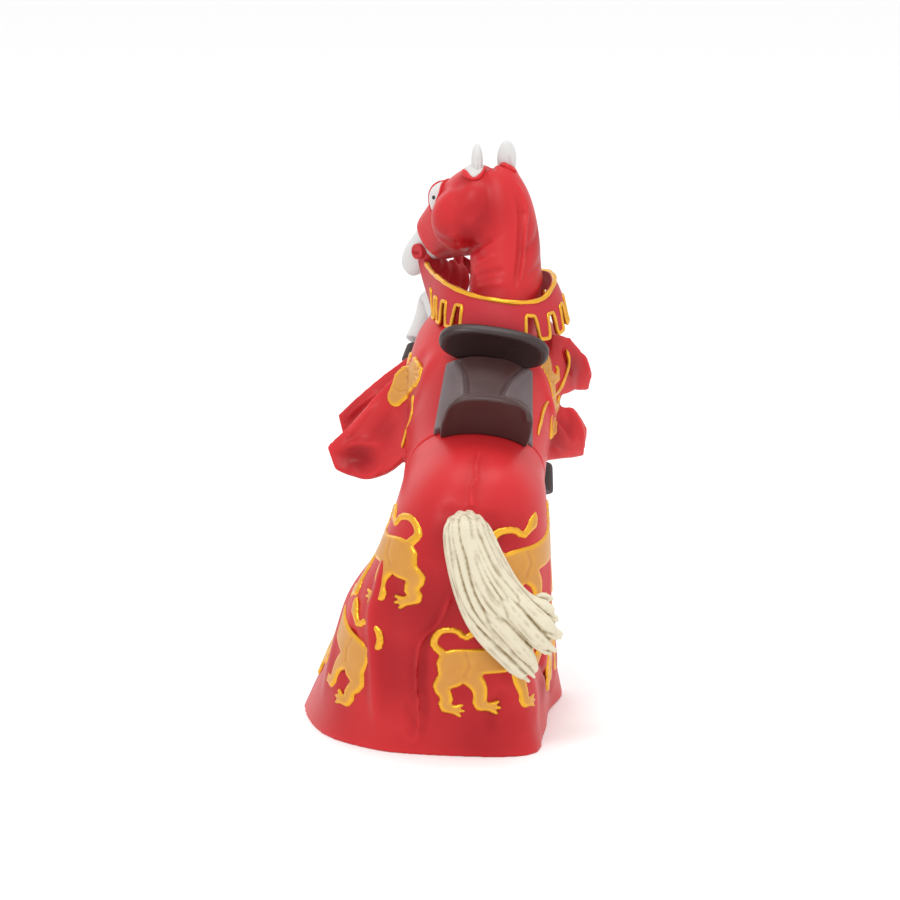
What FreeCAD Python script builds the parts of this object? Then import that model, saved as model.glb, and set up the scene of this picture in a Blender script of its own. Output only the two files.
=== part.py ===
import FreeCAD, Part
import math
import os
from FreeCAD import Vector

# A moulded toy: a knight's horse that rears on its hind legs under a floor-length
# horse cloth. Millimetres. +Y is the way the horse faces, +X its right side, +Z up.
# The origin is on the floor, under the middle of the toy's bounding box.

# ---------------------------------------------------------------- driving sizes
REAR_PITCH = 33.0          # how far the trunk is tipped up at the front, degrees
BODY_ROLL = 9.0            # how far the saddle leans to the horse's right, degrees
TRUNK_LENGTH = 60.0        # from the cantle's plane to the breast
TRUNK_HEIGHT = 36.0        # over the cloth, belly to back
BARREL_HALF_WIDTH = 17.6   # over the cloth, at the saddle
SHOULDER_HALF_WIDTH = 20.3
HIP_HALF_WIDTH = 24.3      # over the cloth, where the skirt starts
HIP_HEIGHT = 35.5          # floor to where the skirt starts
HIP_REACH = 51.0           # from the groin pivot back to the buttocks
CLOTH = 1.8                # thickness of the moulded cloth shells
FIT = 0.10                 # clearance between glued pieces
SPLIT = 3.0                # rear and front cloth meet this far ahead of the cantle plane

NECK_HALF_WIDTH = 9.1
NECK_HALF_DEPTH = 11.5
HEAD_LENGTH = 38.0
HEAD_HALF_WIDTH = 7.0
HEAD_HALF_HEIGHT = 9.6
HOOD = 1.0                 # thickness of the hood on the head
BIT_PLACE = 0.76           # where the bit sits, a share of the head's length
HOOD_TO_BIT = 1.78         # from the hood's edge to the rim of the bit's bosses
EYE_RADIUS = 2.6           # opening in the hood round each eye
EAR_LENGTH = 9.0
EAR_HALF_WIDTH = 2.3
EAR_THICK = 2.4
EAR_ROOM = 0.5             # between an ear and the edge of its opening in the hood

BOARD_THICK = 2.6          # saddle boards, pommel and cantle
POMMEL_HALF_WIDTH = 13.8
POMMEL_HEIGHT = 10.5
CANTLE_HALF_WIDTH = 11.2
CANTLE_HEIGHT = 12.4
SEAT_LENGTH = 24.2         # from the cantle board to the pommel board
SEAT_THICK = 1.8
SEAT_HALF_WIDTH = 13.4     # over its flaps

REIN_THICK = 1.4
REIN_DEPTH = 8.6           # height of the rein cloth
BOSS_RADIUS = 2.1
BOSS_LENGTH = 3.4

TAIL_THICK = 6.4
FORELEG_RADIUS = 3.0
HIND_LEG_RADIUS = 3.2
HOOF_RADIUS = 3.9
HOOF_HEIGHT = 6.0
PEG_RADIUS = 1.5           # moulded glue pegs
PEG_LENGTH = 6.0
EAR_PEG_RADIUS = 0.9
EAR_PEG_LENGTH = 3.0

# Where the pieces stand in the sculptor's layout, before the toy is centred. The neck, head, reins,
# forelegs and flying corners were laid out on a trunk of this length, and move with the breast.
LAYOUT_TRUNK_LENGTH = 60.0
GROIN = Vector(0, 9.96, 35.5)     # the line that the hip sections fan out from
BELLY_GAP = 8.0                   # from that line to the belly
# Hem on the floor, from the right flank round the back to the left, then the front.
HEM = [
    (25.2, -6), (24.0, -20), (22.6, -32), (19.0, -43.6), (2, -44.6), (-13, -41.8), (-20.5, -37.8),
    (-30, -28.5), (-35.4, -14), (-37, -2), (-34, 5), (-21, 9), (-4, 11), (14, 13), (26.5, 15), (28.6, 6),
]
HEM_HEIGHTS = [0.0, 12.0, 24.0]
NECK_SPINE = [
    (12.5, 22, 84), (14.2, 26.5, 100), (14.4, 29, 111), (14.2, 30.5, 120), (12.8, 31.5, 127.5),
    (11.0, 32.2, 131.6),
]
NECK_WIDTHS = [1.05, 1.0, 0.98, 0.88, 0.76, 0.52]
NECK_DEPTHS = [1.1, 0.98, 0.86, 0.76, 0.64, 0.42]
HEAD_TOP = (9.3, 30.6, 128.6)     # top of the head's axis
HEAD_AIM = Vector(-0.53, 0.55, -0.645)
HEAD_SHAPE = [                    # share of length, width, height, height offset
    (0.0, 0.6, 0.5, 0.0),
    (0.1, 0.94, 0.82, -1.2),
    (0.26, 1.0, 1.0, -2.6),
    (0.42, 0.84, 0.86, -1.6),
    (0.62, 0.56, 0.56, 0.4),
    (0.8, 0.5, 0.46, 0.7),
    (0.93, 0.47, 0.44, 0.3),
    (1.0, 0.3, 0.28, 0.0),
]
EARS = {                          # foot of each ear, and the way it points
    "left_ear": ((6.3, 30.5, 130.6), (0.08, 0.06, 1.0)),
    "right_ear": ((14.4, 33.0, 130.9), (0.09, 0.05, 1.0)),
}
TAIL_SPINE = [
    (3.2, -39.5, 58.5), (3.4, -43.8, 56.5), (3.8, -45.6, 50), (5.6, -46.5, 43), (9.6, -47, 36),
    (15.0, -47, 30.0), (20.4, -46.5, 26.5), (24.6, -46, 25),
]
TAIL_BREADTHS = [4.2, 5.0, 5.6, 6.8, 8.4, 9.4, 7.2, 3.0]     # half its breadth at each point
LEGS = {                          # points from the body to the top of the hoof, each with its flesh
    "left_foreleg": [
        (4, 36, 76, 1.9), (-0.5, 47, 85.5, 1.4), (-3.2, 54.2, 93.2, 1.1), (-4.6, 57.4, 96, 0.98),
        (-5.7, 59.3, 94.6, 0.95), (-6.4, 58.9, 91.2, 0.85), (-7.7, 57.2, 87.8, 0.8), (-9.2, 55, 84, 0.95),
    ],
    "right_foreleg": [
        (14, 32, 68, 1.9), (19, 43, 69.5, 1.4), (22.6, 49.6, 69.6, 1.05), (24.4, 52, 68, 0.98),
        (25.2, 51.9, 65.2, 0.92), (25.4, 49.6, 61.8, 0.82), (25.2, 46.4, 58.4, 0.8), (25, 43, 55, 0.95),
    ],
    "left_hind_leg": [
        (-4, -16, 42, 1.9), (-5.5, -5, 34, 1.5), (-7, -4, 28.5, 1.2), (-8, -8.5, 23, 1.0),
        (-9, -12.6, 18.5, 0.9), (-9.7, -13, 14, 0.85), (-10, -10, 9.5, 0.82), (-10, -7.5, HOOF_HEIGHT, 0.95),
    ],
    "right_hind_leg": [
        (12, -16, 42, 1.9), (13.2, -3.5, 34, 1.5), (13.8, -1.5, 28.5, 1.2), (14, -5.5, 23, 1.0),
        (14.3, -9.6, 18.5, 0.9), (14.5, -10, 14, 0.85), (14.5, -7, 9.5, 0.82), (14.5, -4.5, HOOF_HEIGHT, 0.95),
    ],
}
FORE_HOOF_AIM = {"left": Vector(-0.2, -0.55, -0.8), "right": Vector(-0.1, -0.35, -0.93)}
# Flying corners of the front cloth: pairs of edge points, from the body outwards.
DRAPES = {
    "left_shoulder_drape": [
        ((-8, 26, 84), (-9, 6, 65)),
        ((-20, 24, 73), (-18.5, 13, 56)),
        ((-31, 21, 62), (-29, 18, 57)),
    ],
    "left_front_drape": [
        ((-6, 43, 84), (-8, 33, 68)),
        ((-19, 42.5, 75), (-17.5, 37, 63)),
        ((-29, 40.5, 66.5), (-27.5, 38.5, 61)),
    ],
    "right_shoulder_drape": [
        ((26, 24, 91), (26, 14, 76)),
        ((32, 29.5, 88), (31.5, 25, 76)),
        ((37, 34, 79), (36, 32.5, 75)),
    ],
    "right_front_drape": [
        ((25, 19, 73), (23, 7, 62)),
        ((31.5, 22.5, 72), (29, 16, 60.5)),
        ((35.5, 25, 66), (34.5, 23.5, 59.5)),
    ],
}
# The rein cloth's upper edge, from the left bit boss round the neck to the right one.
REIN_TOP = [
    (-7.6, 44.5, 108), (-5.2, 35.5, 105.4), (-0.6, 26, 103.6), (6.5, 18.5, 101.6), (14.5, 15.4, 100.6),
    (21.6, 17.4, 101.3), (24.8, 24, 103.2), (23.8, 33, 105.2), (18.4, 41.5, 107), (10.5, 48.5, 108.4),
    (2.8, 53.5, 109.6),
]
REIN_SLOPE = 0.28          # how far the cloth's lower edge stands out, a share of its height
RING_POINTS = 16
BODY_RINGS = 24


# ---------------------------------------------------------------- shape helpers
def unit(v):
    return Vector(v).normalize()


def mix(a, b, share):
    return a + (b - a) * share


def control_ring(points):
    """Control points of the smooth closed curve that passes through the points."""
    count = len(points)
    poles = list(points)
    for _ in range(25):
        reached = [
            (poles[i - 1] + poles[i] * 4 + poles[(i + 1) % count]) * (1 / 6) for i in range(count)
        ]
        poles = [p + q - r for p, q, r in zip(poles, points, reached)]
    return poles


def closed_curve(points):
    curve = Part.BSplineCurve()
    poles = control_ring(points)
    count = len(poles)
    curve.buildFromPolesMultsKnots(poles, [1] * (count + 1), list(range(count + 1)), True, 3)
    return Part.Wire(curve.toShape())


def oval(centre, across, upward, half_width, half_height, power=2.0):
    """Points of an ellipse, or of a squarer one with a higher power."""
    points = []
    for step in range(RING_POINTS):
        angle = 2 * math.pi * step / RING_POINTS
        c, s = math.cos(angle), math.sin(angle)
        x = math.copysign(abs(c) ** (2 / power), c) * half_width
        y = math.copysign(abs(s) ** (2 / power), s) * half_height
        points.append(centre + across * x + upward * y)
    return points


def inset_ring(points, distance):
    """Moves a flat ring's points inwards, or outwards when the distance is negative."""
    count = len(points)
    middle = sum(points, Vector()) * (1 / count)
    normal = unit((points[0] - middle).cross(points[count // 4] - middle))
    moved = []
    for i, point in enumerate(points):
        tangent = unit(points[(i + 1) % count] - points[i - 1])
        inward = unit(normal.cross(tangent))
        moved.append(point + inward * distance)
    return moved


def loft(rings):
    """A solid over a stack of rings, smooth round them and along them, with flat ends."""
    poles = [list(column) for column in zip(*[control_ring(points) for points in rings])]
    around, along = len(poles), len(rings)
    degree = min(3, along - 1)
    spans = along - degree
    ends = [degree + 1] + [1] * (spans - 1) + [degree + 1]
    surface = Part.BSplineSurface()
    knots_around, knots_along = list(range(around + 1)), list(range(spans + 1))
    surface.buildFromPolesMultsKnots(
        poles, [1] * (around + 1), ends, knots_around, knots_along, True, False, 3, degree
    )
    side = surface.toShape()
    middles = [sum(points, Vector()) * (1 / around) for points in rings]
    middle = middles[along // 2]
    u, v = 0.0, surface.getVKnots()[-1] / 2
    if side.normalAt(u, v).dot(side.valueAt(u, v) - middle) < 0:
        side.reverse()
    faces = [side]
    for rim in (edge for edge in side.Edges if len(edge.Vertexes) == 1):
        cap = Part.Face(Part.Wire([rim]))
        place = cap.CenterOfMass
        at_start = (place - middles[0]).Length < (place - middles[-1]).Length
        outward = middles[0] - middles[1] if at_start else middles[-1] - middles[-2]
        if cap.normalAt(0, 0).dot(outward) < 0:
            cap.reverse()
        faces.append(cap)
    return Part.Solid(Part.Shell(faces))


def even_rings(rings, count):
    """Rings of the same smooth body, evenly spaced, so that a loft has no waves."""
    middles = [sum(points, Vector()) * (1 / len(points)) for points in rings]
    reach = [0.0]
    for a, b, ring_a, ring_b in zip(middles, middles[1:], rings, rings[1:]):
        outer = sum((q - p).Length for p, q in zip(ring_a, ring_b)) / len(ring_a)
        reach.append(reach[-1] + max(outer, (b - a).Length))
    result = []
    for step in range(count):
        target = reach[-1] * step / (count - 1)
        i = max(k for k in range(len(reach) - 1) if reach[k] <= target + 1e-9)
        t = (target - reach[i]) / (reach[i + 1] - reach[i])
        before, after = max(i - 1, 0), min(i + 2, len(rings) - 1)
        four = [rings[before], rings[i], rings[i + 1], rings[after]]
        gaps = [reach[i] - reach[before], reach[i + 1] - reach[i], reach[after] - reach[i + 1]]
        result.append([smooth_point(*points, gaps, t) for points in zip(*four)])
    return result


def smooth_point(before, a, b, after, gaps, t):
    """A cubic between a and b whose slopes come from the unevenly spaced neighbours."""
    slope_a = (b - a) * (1 / gaps[1])
    slope_b = slope_a
    if gaps[0] > 0:
        slope_a = (slope_a * gaps[0] + (a - before) * (gaps[1] / gaps[0])) * (1 / (gaps[0] + gaps[1]))
    if gaps[2] > 0:
        slope_b = (slope_b * gaps[2] + (after - b) * (gaps[1] / gaps[2])) * (1 / (gaps[1] + gaps[2]))
    rise = a * (2 * t ** 3 - 3 * t ** 2 + 1) + b * (3 * t ** 2 - 2 * t ** 3)
    return rise + (slope_a * (t ** 3 - 2 * t ** 2 + t) + slope_b * (t ** 3 - t ** 2)) * gaps[1]


def limb(points, radii, flat=1.0, swing=Vector(1, 0, 0)):
    """A loft along a chain of points. Flat sets its thickness across the swing axis."""
    rings = []
    for i, point in enumerate(points):
        along = unit(points[min(i + 1, len(points) - 1)] - points[max(i - 1, 0)])
        across = unit(swing - along * swing.dot(along))
        rings.append(oval(point, across, unit(across.cross(along)), radii[i], radii[i] * flat))
    return loft(rings)


def ribbon(pairs, thickness):
    """A sheet of even thickness. Its two long edges pass through the pairs of points."""
    sections = []
    for i, (a, b) in enumerate(pairs):
        before, after = pairs[max(i - 1, 0)], pairs[min(i + 1, len(pairs) - 1)]
        along = unit((after[0] + after[1]) - (before[0] + before[1]))
        normal = unit(along.cross(b - a)) * thickness
        sections.append(Part.makePolygon([a, b, b + normal, a + normal, a]))
    solid = Part.makeLoft(sections, True, False)
    if solid.Volume < 0:
        solid.reverse()
    return solid


def peg(base, direction, radius=PEG_RADIUS, length=PEG_LENGTH):
    return Part.makeCylinder(radius, length, base, direction)


def socket(base, direction, radius=PEG_RADIUS, length=PEG_LENGTH):
    """The hole for a peg, with the fit's clearance round it and past its end."""
    return Part.makeCylinder(radius + FIT, length + 2 * FIT, base - direction * FIT, direction)


def largest(shape):
    """The main solid of a cut, without slivers that the cut left loose."""
    return max(shape.Solids, key=lambda s: s.Volume)


def block_beyond(point, direction, size=300.0):
    """A big block that starts at the point and lies on the direction's side of it."""
    side = unit(direction.cross(Vector(0.9, 0.1, 0.2)))
    other = unit(direction.cross(side))
    signs = ((1, 1), (-1, 1), (-1, -1), (1, -1))
    corners = [point + side * (a * size) + other * (b * size) for a, b in signs]
    face = Part.Face(Part.makePolygon(corners + corners[:1]))
    return face.extrude(unit(direction) * size)


# ---------------------------------------------------------------- the trunk and its cloth
PITCH = math.radians(REAR_PITCH)
ALONG = Vector(0, math.cos(PITCH), math.sin(PITCH))
UP = Vector(0, -math.sin(PITCH), math.cos(PITCH))
FAN_END = 90.0 - REAR_PITCH       # the fan's sections turn this far to reach the trunk's
FORWARD = ALONG * (TRUNK_LENGTH - LAYOUT_TRUNK_LENGTH)


def ahead(place):
    """A point of the layout that moves with the breast."""
    return Vector(*place) + FORWARD


def fan_ring(angle, advance, top, half_width, centre_x, roll, low=0.0, power=2.25):
    """One section of the body over the cloth, turned about the groin line."""
    turn, lean = math.radians(angle), math.radians(roll)
    out = Vector(0, -math.cos(turn), math.sin(turn))
    level = Vector(1, 0, 0)
    across = level * math.cos(lean) - out * math.sin(lean)
    upward = out * math.cos(lean) + level * math.sin(lean)
    start = BELLY_GAP + low
    middle = GROIN + ALONG * advance + out * ((start + top) / 2)
    middle.x = centre_x
    return oval(middle, across, upward, half_width, (top - start) / 2, power)


def hip_rings():
    """From the hips round the croup to the cantle's plane."""
    top = BELLY_GAP + TRUNK_HEIGHT
    shape = [                       # share of the turn, reach, narrowing, middle's x, share of the roll
        (0.0, HIP_REACH, 0.0, 0.5, 0.0),
        (0.25, HIP_REACH + 2.4, 0.45, 3.0, 0.2),
        (0.49, HIP_REACH + 3.0, 0.7, 4.4, 0.45),
        (0.74, mix(HIP_REACH, top, 0.45) + 2.6, 0.88, 5.3, 0.8),
        (1.0, top, 1.0, 5.7, 1.0),
    ]
    rings = []
    for turn, reach, narrowing, x, roll in shape:
        half_width = mix(HIP_HALF_WIDTH, BARREL_HALF_WIDTH, narrowing)
        rings.append(fan_ring(FAN_END * turn, 0, reach, half_width, x, BODY_ROLL * roll))
    return rings


def trunk_rings():
    """From just ahead of the cantle's plane to the breast."""
    shape = [                       # share of length, swell to the shoulders, top, belly, middle's x
        (0.2, 0.0, 1.0, 0.0, 6.8),
        (0.42, 0.45, 1.0, 0.0, 7.9),
        (0.62, 1.0, 0.99, 0.0, 9.0),
        (0.79, 0.8, 0.97, 0.03, 9.9),
        (0.91, 0.1, 0.9, 0.1, 10.3),
        (0.97, -1.2, 0.8, 0.2, 10.6),
        (1.0, -2.6, 0.69, 0.32, 10.7),
    ]
    rings = []
    for place, swell, height, low, x in shape:
        half_width = mix(BARREL_HALF_WIDTH, SHOULDER_HALF_WIDTH, swell)
        top, belly = BELLY_GAP + TRUNK_HEIGHT * height, TRUNK_HEIGHT * low
        rings.append(fan_ring(FAN_END, TRUNK_LENGTH * place, top, half_width, x, BODY_ROLL, belly))
    return rings


def skirt_rings():
    """Level sections from the hem up to the hips."""
    hip = hip_rings()[0]
    rings = []
    for height in HEM_HEIGHTS:
        share = height / HIP_HEIGHT
        rings.append([Vector(mix(x, p.x, share), mix(y, p.y, share), height) for (x, y), p in zip(HEM, hip)])
    return rings


def body_solid(inset):
    """The whole body over the cloth, from hem to breast, inset by a distance."""
    rings = even_rings(skirt_rings() + hip_rings() + trunk_rings(), BODY_RINGS)
    rings = [inset_ring(points, inset) for points in rings]
    rings[0] = [Vector(p.x, p.y, -abs(inset)) for p in rings[0]]
    rings[-1] = [p - ALONG * inset for p in rings[-1]]
    return loft(rings)


def make_cloth(core_hole):
    """The rear cloth with its skirt, and the front cloth. They meet under the saddle."""
    over = body_solid(0.0)
    shell = over.cut(core_hole)
    split = GROIN + ALONG * SPLIT
    rear = shell.cut(block_beyond(split, ALONG))
    crown = HIP_HEIGHT - 2
    arch = [(-32.5, -2), (25.5, -2), (19, 22), (12, crown), (-8, crown), (-22, 22)]
    corners = [Vector(x, -3.0, z) for x, z in arch]
    opening = Part.Face(Part.makePolygon(corners + corners[:1])).extrude(Vector(0, 80, 0))
    rear = largest(rear.cut(opening))
    front = shell.cut(block_beyond(split + ALONG * FIT, -ALONG))
    level = GROIN + UP * (BELLY_GAP + TRUNK_HEIGHT * 0.3)
    front = largest(front.cut(block_beyond(level, -UP)))
    return rear, front


# ---------------------------------------------------------------- saddle
LEAN = math.radians(BODY_ROLL)
SADDLE_ACROSS = Vector(math.cos(LEAN), 0, 0) - UP * math.sin(LEAN)
SADDLE_UP = UP * math.cos(LEAN) + Vector(1, 0, 0) * math.sin(LEAN)


def on_back(advance, height=0.0, sideways=0.0):
    """A point over the ridge of the back, a distance ahead of the cantle's plane."""
    x = 5.7 + (9.0 - 5.7) * advance / (TRUNK_LENGTH * 0.62)
    middle = GROIN + ALONG * advance + UP * (BELLY_GAP + TRUNK_HEIGHT / 2)
    middle.x = x
    return middle + SADDLE_UP * (TRUNK_HEIGHT / 2 + height) + SADDLE_ACROSS * sideways


def make_saddle(skin):
    """Seat shell, cantle board and pommel board, all standing on the cloth's skin."""
    cantle = board(0.0, CANTLE_HALF_WIDTH, CANTLE_HEIGHT, 2.9, 7.0).cut(skin)
    pommel = board(BOARD_THICK + SEAT_LENGTH, POMMEL_HALF_WIDTH, POMMEL_HEIGHT, 2.2, 9.0).cut(skin)
    seat = body_solid(-(SEAT_THICK + FIT)).cut(skin)
    seat = seat.cut(block_beyond(on_back(BOARD_THICK + FIT), -ALONG))
    seat = seat.cut(block_beyond(on_back(BOARD_THICK + SEAT_LENGTH - FIT), ALONG))
    for side in (-1, 1):
        edge = on_back(SEAT_LENGTH / 2, 0, side * SEAT_HALF_WIDTH)
        seat = seat.cut(block_beyond(edge, SADDLE_ACROSS * side))
    seat = largest(seat.cut(block_beyond(on_back(0, -TRUNK_HEIGHT / 2), -SADDLE_UP)))
    return seat, largest(cantle), largest(pommel)


def board(advance, half_width, height, power, depth):
    """An upright board with a rounded outline, its foot sunk into the back."""
    half_height = (height + depth) / 2
    middle = on_back(advance) + SADDLE_UP * (height - half_height)
    outline = oval(middle, SADDLE_ACROSS, SADDLE_UP, half_width, half_height, power)
    return Part.Face(closed_curve(outline)).extrude(ALONG * BOARD_THICK)


# ---------------------------------------------------------------- neck and head
AIM = unit(HEAD_AIM)
POLL = ahead(HEAD_TOP)
HEAD_ACROSS = unit(AIM.cross(Vector(0, 0, 1)))
HEAD_UP = unit(HEAD_ACROSS.cross(AIM))


def head_solid(grow=0.0):
    """The head, or with grow the same shape made bigger all round."""
    rings = []
    for share, width, height, offset in HEAD_SHAPE:
        end = {0.0: -grow, 1.0: grow}.get(share, 0.0)
        place = POLL + AIM * (HEAD_LENGTH * share + end) + HEAD_UP * offset
        half_width, half_height = HEAD_HALF_WIDTH * width + grow, HEAD_HALF_HEIGHT * height + grow
        rings.append(oval(place, HEAD_ACROSS, HEAD_UP, half_width, half_height, 2.2))
    return loft(rings)


def neck_solid(skin, head_hole):
    spine = [ahead(p) for p in NECK_SPINE]
    rings = []
    for i, point in enumerate(spine):
        along = unit(spine[min(i + 1, len(spine) - 1)] - spine[max(i - 1, 0)])
        across = unit(Vector(1, 0, 0) - along * along.x)
        depth = unit(along.cross(across))
        half_width, half_depth = NECK_HALF_WIDTH * NECK_WIDTHS[i], NECK_HALF_DEPTH * NECK_DEPTHS[i]
        rings.append(oval(point, across, depth, half_width, half_depth, 2.1))
    neck = loft(rings).cut(skin).cut(head_hole)
    for base, direction in EARS.values():
        neck = neck.cut(ear_opening(ahead(base), unit(Vector(*direction))))
    return largest(neck.cut(block_beyond(on_back(2 * BOARD_THICK + SEAT_LENGTH + FIT), -ALONG)))


def ear_opening(base, direction):
    """What is cut from the hood and the neck so that an ear comes through."""
    return Part.makeCylinder(EAR_HALF_WIDTH + EAR_ROOM, 14, base - direction * 5, direction)


def eye_place(side):
    """Middle of an eye on the hood's surface: side is -1 for the left, 1 for the right."""
    brow = POLL + AIM * (HEAD_LENGTH * 0.33) + HEAD_UP * (HEAD_HALF_HEIGHT * 0.45)
    return brow + HEAD_ACROSS * (side * HEAD_HALF_WIDTH)


def make_head():
    skin = head_solid(HOOD + FIT)
    inner = head_solid(FIT)
    hood_length = HEAD_LENGTH * BIT_PLACE - BOSS_RADIUS - HOOD_TO_BIT
    hood = skin.cut(inner).cut(block_beyond(POLL + AIM * hood_length, AIM))
    head = head_solid()
    ears = {}
    for side in (-1, 1):
        aim = HEAD_ACROSS * side
        hood = hood.cut(Part.makeCylinder(EYE_RADIUS, 6, eye_place(side) - aim * 3, aim))
    for name, (base, direction) in EARS.items():
        base, direction = ahead(base), unit(Vector(*direction))
        hood = hood.cut(ear_opening(base, direction))
        shares = [(0.0, 0.75), (0.3, 1.0), (0.62, 0.86), (0.86, 0.45), (1.0, 0.12)]
        points = [base + direction * (EAR_LENGTH * share) for share, _ in shares]
        across = unit(Vector(1, 0, 0) - direction * direction.x)
        upward = direction.cross(across)
        rings = []
        for point, (_, width) in zip(points, shares):
            rings.append(oval(point, across, upward, EAR_HALF_WIDTH * width, EAR_THICK / 2 * width))
        ear = largest(loft(rings).cut(inner))
        foot = base - direction * EAR_PEG_LENGTH
        pin = Part.makeCylinder(EAR_PEG_RADIUS, EAR_PEG_LENGTH * 2, foot, direction)
        hole = Part.makeCylinder(EAR_PEG_RADIUS + FIT, EAR_PEG_LENGTH * 2, foot - direction * FIT, direction)
        ears[name] = ear.fuse(pin)
        head = head.cut(hole)
    return largest(head), largest(hood), ears


# ---------------------------------------------------------------- rein cloth
def make_rein(blockers):
    """A broad strip that runs round the neck from one side of the bit to the other."""
    top = [ahead(p) for p in REIN_TOP]
    middle = sum(top, Vector()) * (1 / len(top))
    pairs = []
    for i, point in enumerate(top):
        along = unit(top[min(i + 1, len(top) - 1)] - top[max(i - 1, 0)])
        outward = unit(along.cross(Vector(0, 0, 1)))
        if outward.dot(point - middle) < 0:
            outward = -outward
        drop = unit(Vector(0, 0, -1) + outward * REIN_SLOPE)
        share = min(1.0, 0.45 + 0.3 * min(i, len(top) - 1 - i))
        pairs.append((point, point + drop * (REIN_DEPTH * share)))
    band = ribbon(pairs, -REIN_THICK)
    for blocker in blockers:
        band = band.cut(blocker)
    return largest(band)


def make_boss(at, direction):
    return Part.makeCylinder(BOSS_RADIUS, BOSS_LENGTH, at, direction)


# ---------------------------------------------------------------- legs and tail
def leg_points(name):
    """A leg's centre line. Forelegs move with the breast, hind legs stay by the hips."""
    return [ahead(p[:3]) if "fore" in name else Vector(*p[:3]) for p in LEGS[name]]


def make_leg(name, radius, neighbours):
    """One loft from inside the body to the hoof, cut back to what it stands on."""
    leg = limb(leg_points(name), [radius * p[3] for p in LEGS[name]])
    for neighbour in neighbours:
        leg = leg.cut(neighbour)
    return largest(leg)


def hoof(at, direction, spread=1.12):
    """A hoof below a leg's end, a touch wider at the sole."""
    across = unit(Vector(1, 0, 0) - direction * direction.x)
    upward = unit(direction.cross(across))
    start = at + direction * FIT
    rings = [
        oval(start, across, upward, HOOF_RADIUS * 0.86, HOOF_RADIUS * 0.92),
        oval(start + direction * (HOOF_HEIGHT * 0.5), across, upward, HOOF_RADIUS * 0.97, HOOF_RADIUS * 1.05),
        oval(at + direction * HOOF_HEIGHT, across, upward, HOOF_RADIUS * spread * 0.94, HOOF_RADIUS * spread),
    ]
    return loft(rings)


def glue(parts, name, base, direction, hosts):
    """Adds a glue peg to a piece, and its socket to the pieces that it goes into."""
    direction = unit(direction)
    parts[name] = largest(parts[name].fuse(peg(base, direction, PEG_RADIUS, PEG_LENGTH * 2)))
    hole = socket(base, direction, PEG_RADIUS, PEG_LENGTH * 2)
    for host in hosts:
        parts[host] = largest(parts[host].cut(hole))


def make_tail(skin):
    points = [Vector(*p) for p in TAIL_SPINE]
    rings = []
    for i, point in enumerate(points):
        along = unit(points[min(i + 1, len(points) - 1)] - points[max(i - 1, 0)])
        across = unit(Vector(1, 0, 0) - along * along.x)
        thick = TAIL_THICK / 2 * (1.0 if i < len(points) - 1 else 0.5)
        rings.append(oval(point, across, unit(across.cross(along)), TAIL_BREADTHS[i], thick))
    return largest(loft(rings).cut(skin))


# ---------------------------------------------------------------- the whole toy
def build():
    core_hole = body_solid(CLOTH)
    core = largest(body_solid(CLOTH + FIT).cut(block_beyond(Vector(0, 0, HIP_HEIGHT), Vector(0, 0, -1))))
    skin = body_solid(-FIT)
    rear, front = make_cloth(core_hole)
    head_hole = head_solid(HOOD + 2 * FIT)
    neck = neck_solid(skin, head_hole)
    head, hood, ears = make_head()
    seat, cantle, pommel = make_saddle(skin)
    parts = {
        "body_core": core,
        "rear_caparison": rear,
        "front_caparison": front,
        "neck_hood": neck,
        "head": head,
        "head_hood": hood,
        "saddle_seat": seat,
        "saddle_cantle": cantle,
        "saddle_pommel": pommel,
    }
    parts.update(ears)
    for name, stations in DRAPES.items():
        pairs = [(ahead(a), ahead(b)) for a, b in stations]
        parts[name] = largest(ribbon(pairs, CLOTH).cut(skin))
    parts["rein_band"] = make_rein([neck, head_hole, skin])
    for side, name in ((-1, "left_bit_boss"), (1, "right_bit_boss")):
        mouth = POLL + AIM * (HEAD_LENGTH * BIT_PLACE) + HEAD_ACROSS * (side * HEAD_HALF_WIDTH * 0.3)
        parts[name] = largest(make_boss(mouth, HEAD_ACROSS * side).cut(head_solid(FIT)))
    parts["tail"] = make_tail(skin)
    neck_foot = ahead(NECK_SPINE[0]) + Vector(0.6, 2, 6)
    glue(parts, "neck_hood", neck_foot, Vector(-0.1, -0.25, -1), ["front_caparison", "body_core"])
    dock = Vector(*TAIL_SPINE[1]) + Vector(0, 1, 0)
    glue(parts, "tail", dock, Vector(0, 1, 0.1), ["rear_caparison", "body_core"])
    for name in LEGS:
        fore = "fore" in name
        side = name.split("_")[0]
        end = leg_points(name)[-1]
        aim = unit(FORE_HOOF_AIM[side]) if fore else Vector(0, 0, -1)
        foot = hoof(end, aim)
        radius = FORELEG_RADIUS if fore else HIND_LEG_RADIUS
        around = [parts["body_core"], parts["front_caparison"], parts["rear_caparison"], foot]
        parts[name] = make_leg(name, radius, around)
        parts[name.replace("foreleg", "fore_hoof").replace("hind_leg", "hind_hoof")] = foot
    return parts


if __name__ == "__main__":
    os.makedirs("parts", exist_ok=True)
    parts = build()
    box = FreeCAD.BoundBox()
    for shape in parts.values():
        box.add(shape.optimalBoundingBox())
    shift = Vector(-box.Center.x, -box.Center.y, -box.ZMin)
    print("whole", box, "shift", shift)
    for name, shape in parts.items():
        shape = shape.translated(shift)
        size = shape.optimalBoundingBox()
        low = f"{size.XMin:6.1f} {size.YMin:6.1f} {size.ZMin:6.1f}"
        high = f"{size.XMax:6.1f} {size.YMax:6.1f} {size.ZMax:6.1f}"
        print(f"{name:20s} {shape.isValid()} {shape.Volume:8.0f} mm3, low {low}, high {high}")
        shape.exportStep(f"parts/{name}.step")
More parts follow.
